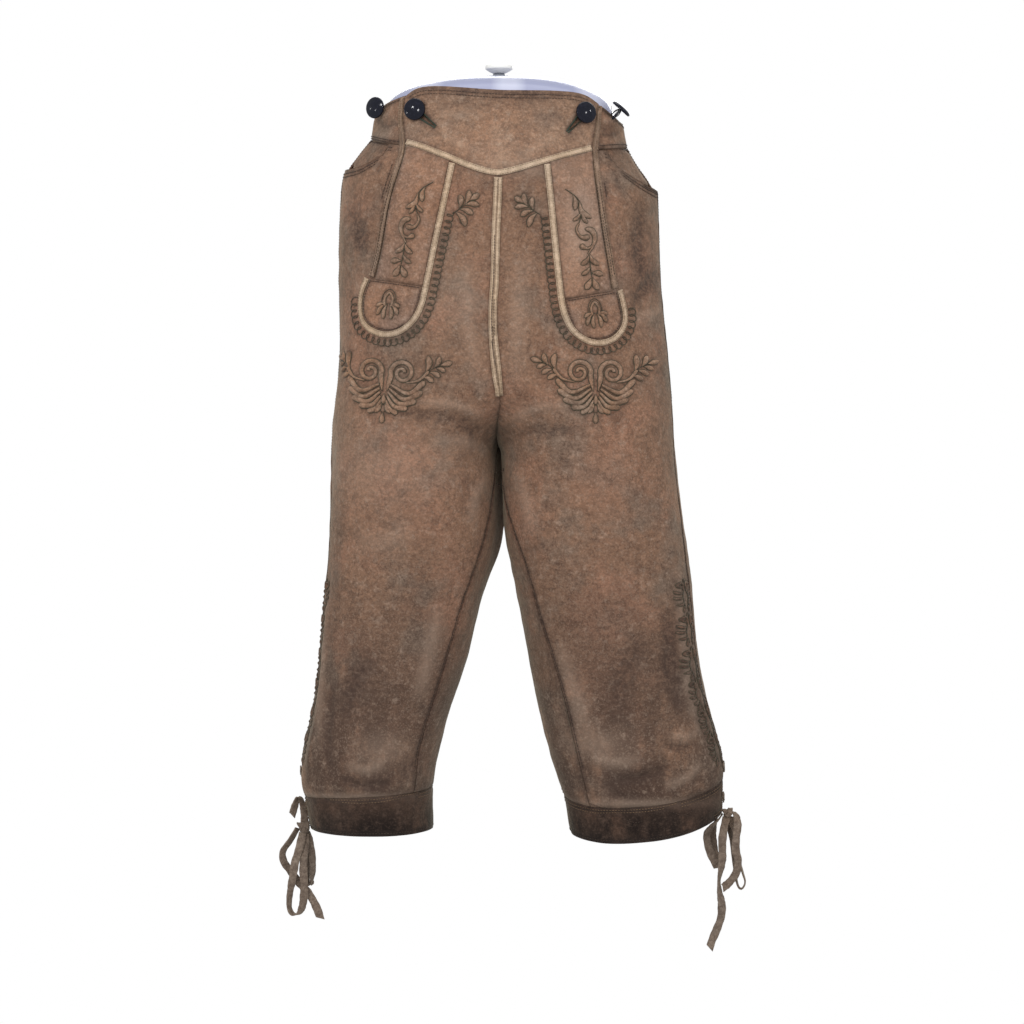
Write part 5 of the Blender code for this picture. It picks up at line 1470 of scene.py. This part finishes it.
# %% Lace routes
Lace = namedtuple("Lace", "far_end route")
LACES = {
    "lace_left_long_loop": Lace("object", [
        (-205.5, -7.0, -805.35, 8), (-208.5, -11, -820, 5), (-213, -14, -835, 5),
        (-216, -13, -852, 20), (-219.5, -11, -870, 50), (-220, -9, -884, 60), (-216, -8, -891, 60),
        (-209, -9, -890, 50), (-205, -11, -880, 20), (-203.5, -13, -862, 5),
        (-204.5, -14, -844, 0), (-204, -12, -828, 5), (-203, -8.5, -815, 5),
        (-202.8, -5.4, -805.6, 8),
    ]),
    "lace_left_short_loop": Lace("object", [
        (-202.0, -1.2, -805.9, 8), (-198.5, -0.5, -818, 30), (-196.5, 0, -832, 40),
        (-196, 1, -846, 55), (-198, 4, -858, 80), (-200, 10, -858, 85), (-199.5, 12, -846, 70),
        (-199, 9, -828, 55), (-200.5, 4, -814, 35), (-202.4, 0.6, -805.9, 8),
    ]),
    "lace_left_tail": Lace("bare", [
        (-211.7, -3.5, -800.5, 52), (-219, -3, -813, 48), (-227, -3, -825, 40),
        (-226, -4, -836, 35), (-219, -4, -846, 25), (-211, -4, -857, 15), (-203, -4.5, -865, 0),
        (-196, -6, -874, -10), (-190.5, -7, -885, 0), (-187, -8, -895, 5),
    ]),
    "lace_left_end": Lace("bare", [
        (-203.6, -5, -796, 20), (-203.8, -5, -786, 30), (-205.0, -5, -777, 45), (-207.5, -5.5, -770, 60),
        (-211, -6, -768.5, 60), (-214, -6.5, -776, 40), (-217, -7, -787, 25),
    ]),
    "lace_right_tail_long": Lace("bare", [
        (238.3, -6.8, -789.35, 10), (235.5, -10, -800, 5), (233.5, -14, -813, 0),
        (233.5, -14, -828, 5), (232.5, -12, -839, 30), (230.5, -11, -849, 60),
        (229.5, -10, -857, 70), (230.5, -9, -868, 50), (233, -9, -880, 10), (232.5, -9, -893, 5),
        (228, -9, -906, 5), (223, -9, -918, 0), (220.5, -9, -926, 0),
    ]),
    "lace_right_tail_short": Lace("bare", [
        (245.2, -6, -784, 70), (248.5, -9, -789, 40), (249.5, -11, -798, 15), (248, -12, -810, 10),
        (247.5, -12, -823, 10), (250, -11, -834, 15), (248, -10, -847, 10), (241, -10, -857, 0),
        (234.5, -10.5, -863, -20),
    ]),
    "lace_right_loop": Lace("object", [
        (233.8, -4, -785.4, 88), (229.5, -3.6, -791.5, 75), (222.5, -3.6, -798.5, 50),
        (218, -4, -806, 30), (218, -5, -815, 20), (222, -5, -828, 15), (227, -4, -838, 10),
        (229.5, 0, -842, 10), (229, 4, -836, 10), (226, 5, -820, 20), (226, 7, -806, 40),
        (229.5, 8.5, -793, 75), (232.0, 9.5, -786.5, 90),
    ]),
    "lace_right_small_loop": Lace("object", [
        (242.2, -4.2, -789.9, 12), (247, -1, -805, 60), (250, 0, -830, 70), (255, -1, -848, 80),
        (257.5, -2, -858, 85), (254, -2, -864, 85), (250.5, -1, -858, 80), (248, 3, -840, 70),
        (245, 3, -812, 60), (241.4, -2.0, -789.9, 12),
    ]),
}
print("laces:", ", ".join(LACES))

# %% Sweeping a strip
STRIP = [  # across, in widths, and up, in thicknesses: a cupped strip with cut edges
    (-0.46, 0.0), (-0.5, 0.3), (-0.5, 0.75), (-0.46, 1.05), (-0.25, 0.94), (0.0, 0.88), (0.25, 0.94),
    (0.46, 1.05), (0.5, 0.75), (0.5, 0.3), (0.46, 0.0), (0.25, -0.06), (0.0, -0.1), (-0.25, -0.06),
]
LACE_WIDE, LACE_THICK = 8.4, 1.5
END_SLANT = 5.0  # of a bare end


def strip_rings(route, wide, thick, slant=0.0, gap=1.5):
    """Rings of a strip along a route of (x, y, z, turn), in metres, and its middle line."""
    rows = smooth_line(route, gap)
    line, turn = rows[:, :3], np.radians(rows[:, 3])
    run = np.arange(len(line)) * gap
    along = unit(np.gradient(line, axis=0))
    across = np.stack([np.cos(turn), np.sin(turn), np.zeros_like(turn)], axis=1)
    across = unit(across - along * np.sum(across * along, axis=1, keepdims=True))
    face = np.cross(along, across)
    width = wide * (1 + 0.05 * np.sin(run * 0.23 + line[0, 2]) + 0.03 * np.sin(run * 0.61 + line[0, 0]))
    rings = []  # its width wanders a little, as it was cut by hand
    for k, (p, a, w, f) in enumerate(zip(line, across, width, face)):
        lean = slant * (k == len(line) - 1) + 0.4 * slant * (k == len(line) - 2)
        rings.append([(p + a * u * w + f * v * thick + along[k] * u * lean) * MM for u, v in STRIP])
    return np.array(rings), (line + face * thick / 2) * MM


laces = {}
for node, lace in LACES.items():
    sweep = Sewing()
    slant = END_SLANT if lace.far_end == "bare" else 0.0
    rings, middle = strip_rings(lace.route, LACE_WIDE, LACE_THICK, slant)
    sweep.put(list(rings))
    strip = with_wear(sweep.piece(node + "_strip", SUEDE_LACE))
    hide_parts(node)
    laces[node] = (strip, middle, lace.far_end)

# %% [markdown]
# Each knot is a tight core with the same strip drawn round it twice, so the laces leave from under a wrap.

# %% Knots
Tied = namedtuple("Tied", "node x y z out tall wide laces")
LEFT_LACES = ["lace_left_long_loop", "lace_left_short_loop", "lace_left_tail"]
RIGHT_LACES = ["lace_right_tail_long", "lace_right_tail_short", "lace_right_small_loop", "lace_right_loop"]
KNOTS = [
    Tied("knot_left", -204.0, -4, -800, 6.6, 5.4, 5.6, LEFT_LACES),
    Tied("knot_right", 239.9, -4, -785, 5.6, 4.4, 4.8, RIGHT_LACES),
]
WRAPS = [(20, 1.4), (-46, -1.6)]  # each leans by an angle, and lies to one side
RIPPLE, RIPPLE_ACROSS, RIPPLE_UP = 0.35, 1900, 1300  # mm, and radians per metre
WRAP_STEPS = 25
for knot in KNOTS:
    core = subdivided(knot.node, 2)
    place = points_of(core)
    ripple = RIPPLE * MM * np.sin(place[:, 0] * RIPPLE_ACROSS) * np.cos(place[:, 2] * RIPPLE_UP)
    set_points(core, place + normals_of(core) * ripple[:, None])
    core.shade_smooth()
    middle = with_wear(link(knot.node + "_core", core, SUEDE_LACE))
    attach(middle, "root")
    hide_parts(knot.node)
    wraps = Sewing()
    for lean, beside in WRAPS:
        up = np.array([math.sin(math.radians(lean)), 0.0, math.cos(math.radians(lean))])
        turn = np.linspace(2 * math.pi, 0, WRAP_STEPS)[:, None]
        ring = up * knot.tall * np.sin(turn) + np.array([0.0, -1.0, 0.0]) * knot.out * np.cos(turn)
        ring = ring + (knot.x + beside, knot.y, knot.z)
        rings, _ = strip_rings(np.hstack([ring, 0 * turn]), knot.wide, LACE_THICK, gap=0.9)
        wraps.put(list(rings))
    tied = with_wear(wraps.piece(knot.node + "_wraps", SUEDE_LACE))
    for node in knot.laces:
        strip, middle, far_end = laces[node]
        length = float(np.sum(np.linalg.norm(np.diff(middle, axis=0), axis=1)))
        said = {"exit": middle[0], "length": length, "diameter": LACE_WIDE * MM, "far_end": far_end}
        said |= {"stiffness": "limp", "lay": "hanging", "path": [tuple(p) for p in middle]}
        print(f"{node}: {length * 1000:.0f} mm, {far_end}")

# %% [markdown]
# ## Hard parts
#
# The form is smooth pale plastic with soft upright bands of a paler tone painted into its colour as painted
# reflections, its stud is chromed and the stud's cap is white. The buttons are black horn, turned and
# polished, with fine paler streaks in it.

# %% Hard materials
def hard(name, code, rough, wear, size_mm, extra):
    """A hard finish whose gloss varies in small clouds, as handling leaves it."""
    material, tree, shader = new_material(name)
    place = own_place(tree)
    marks = clouds(tree, place, size_mm, 4, 0.6, 0.35, 0.75)
    gloss = remap(tree, marks, {"To Min": rough - wear, "To Max": rough + wear})
    plug(tree, shader, {"Base Color": linear(code), "Roughness": gloss} | extra)
    return material, tree, shader, place


PEARL_PAINTED_REFLECTION, tree, shader, place = hard("pearl_plastic", "#A9AECB", 0.22, 0.05, 60, {"Specular IOR Level": 0.25})
# Painted reflections: soft upright bands of a paler tone painted across the form's colour.
across = add(tree, "SeparateXYZ", {"Vector": place}).outputs["X"]
band = maths(tree, "SINE", maths(tree, "MULTIPLY_ADD", across, 74.0, 0.8))
band = remap(tree, band, {"From Min": 0.2, "From Max": 0.9})
plug(tree, shader, {"Base Color": blend_colour(tree, band, linear("#9094AF"), linear("#B1B4C8"))})
CHROME, *_ = hard("chromed_steel", "#9EA2AA", 0.12, 0.05, 4, {"Metallic": 1.0})
CAP, *_ = hard("white_cap_plastic", "#E9E9E4", 0.34, 0.08, 8, {})
HORN, tree, shader, place = hard("black_horn", "#0B0C12", 0.12, 0.04, 6, {"Specular IOR Level": 0.3})
streak = clouds(tree, place, 2.4, 3, 0.6, 0.45, 0.8)
plug(tree, shader, {"Base Color": blend_colour(tree, streak, linear("#0D0F1B"), linear("#1C1D2A"))})

# %% Finer hard parts
DISC_FACING, DOME_FACING = 0.85, 0.6  # the least cosine with a button's axis
DOME_DEEP = 1.5


def domed(mesh):
    """Rounds the front of a button: its middle and rim keep their heights, and a smooth bow joins them."""
    points, facing = points_of(mesh), normals_of(mesh)
    axis = np.array([0.0, -1.0, 0.0])
    for _ in range(4):  # the mean of what faces forward settles on the axis
        axis = unit(facing[facing @ axis > DISC_FACING].mean(axis=0))
    height = points @ axis
    front = facing @ axis > DOME_FACING
    front &= height > np.median(height[front]) - DOME_DEEP * MM
    aside = unit(np.cross(axis, (0.0, 0.0, 1.0)))
    flat = np.stack([points @ aside, points @ np.cross(aside, axis)], axis=1)
    reach = np.linalg.norm(flat - (flat[front].min(axis=0) + flat[front].max(axis=0)) / 2, axis=1)
    low, high = height[front].min(), height[front].max()
    bow = low + (high - low) * (1 - (reach / reach[front].max()) ** 2)
    points[front] += axis * (bow - height)[front][:, None]
    set_points(mesh, points)


HARD = {"hip_form": PEARL_PAINTED_REFLECTION, "stud": CHROME, "knob": CAP}
HARD |= {f"button_{place}_{leg}": HORN for place in ("front", "hip") for leg in LEGS}
hard_parts = {}
for node, material in HARD.items():
    mesh = subdivided(node, 3 if node == "hip_form" else 2)
    if material is HORN and node != "button_hip_right":  # that one is seen from its edge
        domed(mesh)
    hard_parts[node] = finish_piece(node, mesh, material, sharp=40)
print("hard parts:", len(hard_parts))

# %% [markdown]
# The hip buttons stand off the leather, so the thread that ties each one shows. It runs in a few slack
# strands from under the disc to the waistband, and one end was never cut short.

# %% Button threads
tied_on = Sewing()
STRANDS = (20, 95, 170, 250, 320)  # degrees round the button's axis


def tie(points, up, radius):
    """A strand through points. All in mm."""
    line = smooth_line(points, 0.6) * MM
    thread(tied_on, line, np.tile(up, (len(line), 1)), radius * MM)


for leg in LEGS:
    disc = points_of(hard_parts[f"button_hip_{leg}"].data).mean(axis=0)
    foot, way, _, _ = surface.find_nearest(Vector(disc))
    foot, disc, way = np.array(foot) / MM, disc / MM, np.array(way)
    side = unit(np.cross(way, (0.0, 0.0, 1.0)))
    rise = np.cross(side, way)
    for turn in STRANDS:
        bulge = side * math.cos(math.radians(turn)) + rise * math.sin(math.radians(turn))
        tie([foot + bulge * 2.6, (foot + disc) / 2 + bulge * 3.0, disc + bulge * 1.4], bulge, 0.45)
    loose = foot + side * 2.5
    tie([loose, loose + way * 3 + rise * 5, loose + way * 5 + rise * 9], side, 0.42)
tied_on.piece("button_thread", waxed_thread("button_thread_black", "#1E1C1C"))

# %% [markdown]
# ## Stage and light
#
# The garment hangs in a plain white studio. Light comes evenly from all round, as from white walls. Two
# large soft lamps stand in front, one above and one behind, as for a catalogue, and six small ones are
# there to be mirrored in the buttons. The camera sees the walls and the floor brighter than the light
# that they give, because its exposure is set for the much darker leather.

# %% Walls and floor
WALL_LIGHT = 0.62
WALL_SEEN = 1.0
FLOOR_DROP = 0.35  # from the lowest lace to the floor
FLOOR_RADIUS = 6.0
WHITE = (1, 1, 1, 1)


def bright_to_the_eye(tree):
    """The strength of a white wall: WALL_SEEN where it is looked at, WALL_LIGHT as a light."""
    looked_at = add(tree, "LightPath", {}).outputs["Is Camera Ray"]
    return remap(tree, looked_at, {"To Min": WALL_LIGHT, "To Max": WALL_SEEN})


def add_floor():
    edit = bmesh.new()
    bmesh.ops.create_circle(edit, cap_ends=True, segments=96, radius=FLOOR_RADIUS)
    bmesh.ops.translate(edit, verts=edit.verts, vec=(0, 0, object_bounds()[0].z - FLOOR_DROP))
    mesh = bpy.data.meshes.new("studio_floor")
    edit.to_mesh(mesh)
    edit.free()
    material, tree, shader = new_material("matt_white_paint")
    white = add(tree, "Emission", {"Color": WHITE, "Strength": bright_to_the_eye(tree)})
    plug(tree, tree.nodes["Material Output"], {"Surface": white.outputs[0]})
    tree.nodes.remove(shader)
    link("studio_floor", mesh, material)


add_floor()
world = bpy.data.worlds.new("studio_air")
world.use_nodes = True
air = world.node_tree
plug(air, air.nodes["Background"], {"Color": WHITE, "Strength": bright_to_the_eye(air)})
bpy.context.scene.world = world
bpy.context.scene.view_settings.view_transform = "Standard"
print("walls seen at", WALL_SEEN, "and lit at", WALL_LIGHT)

# %% Lamps
Lamp = namedtuple("Lamp", "name place aim size power mirrored")
GARMENT, WAIST = (0, 0, -0.4), (0, 0, -0.1)
LAMPS = [  # metres and watts
    Lamp("key", (-0.9, -3.4, 1.3), GARMENT, (1.6, 1.6), 40, False),
    Lamp("fill", (1.8, -3.0, 0.4), (0, 0, -0.5), (1.4, 2.0), 22, False),
    Lamp("lamp_one", (-1.84, -2.57, 0.95), WAIST, (0.26, 0.26), 12, True),
    Lamp("lamp_two", (-0.65, -3.22, 0.29), WAIST, (0.26, 0.26), 12, True),
    Lamp("lamp_three", (2.30, -2.30, 0.64), WAIST, (0.12, 0.12), 5, True),
    Lamp("lamp_four", (2.87, -1.27, 1.01), WAIST, (0.12, 0.12), 5, True),
    Lamp("lamp_five", (-3.31, -0.30, 0.28), WAIST, (0.18, 0.18), 3, True),
    Lamp("lamp_six", (-2.89, -1.66, -0.14), WAIST, (0.18, 0.18), 3, True),
    Lamp("top", (0.0, 0.2, 2.2), GARMENT, (2.0, 1.6), 20, True),
    Lamp("behind", (0.4, 3.0, 1.0), GARMENT, (1.8, 1.8), 34, True),
]


def softbox(lamp):
    """A soft lamp. One that isn't mirrored lights the leather but leaves no patch on what is polished."""
    light = bpy.data.lights.new(lamp.name, "AREA")
    light.shape = "RECTANGLE"
    light.size, light.size_y = lamp.size
    light.energy = lamp.power
    thing = bpy.data.objects.new(lamp.name, light)
    thing.location = lamp.place
    thing.visible_glossy = lamp.mirrored
    thing.rotation_euler = (Vector(lamp.aim) - Vector(lamp.place)).to_track_quat("-Z", "Y").to_euler()
    bpy.context.collection.objects.link(thing)


for lamp in LAMPS:
    softbox(lamp)
print("lamps:", len(LAMPS))
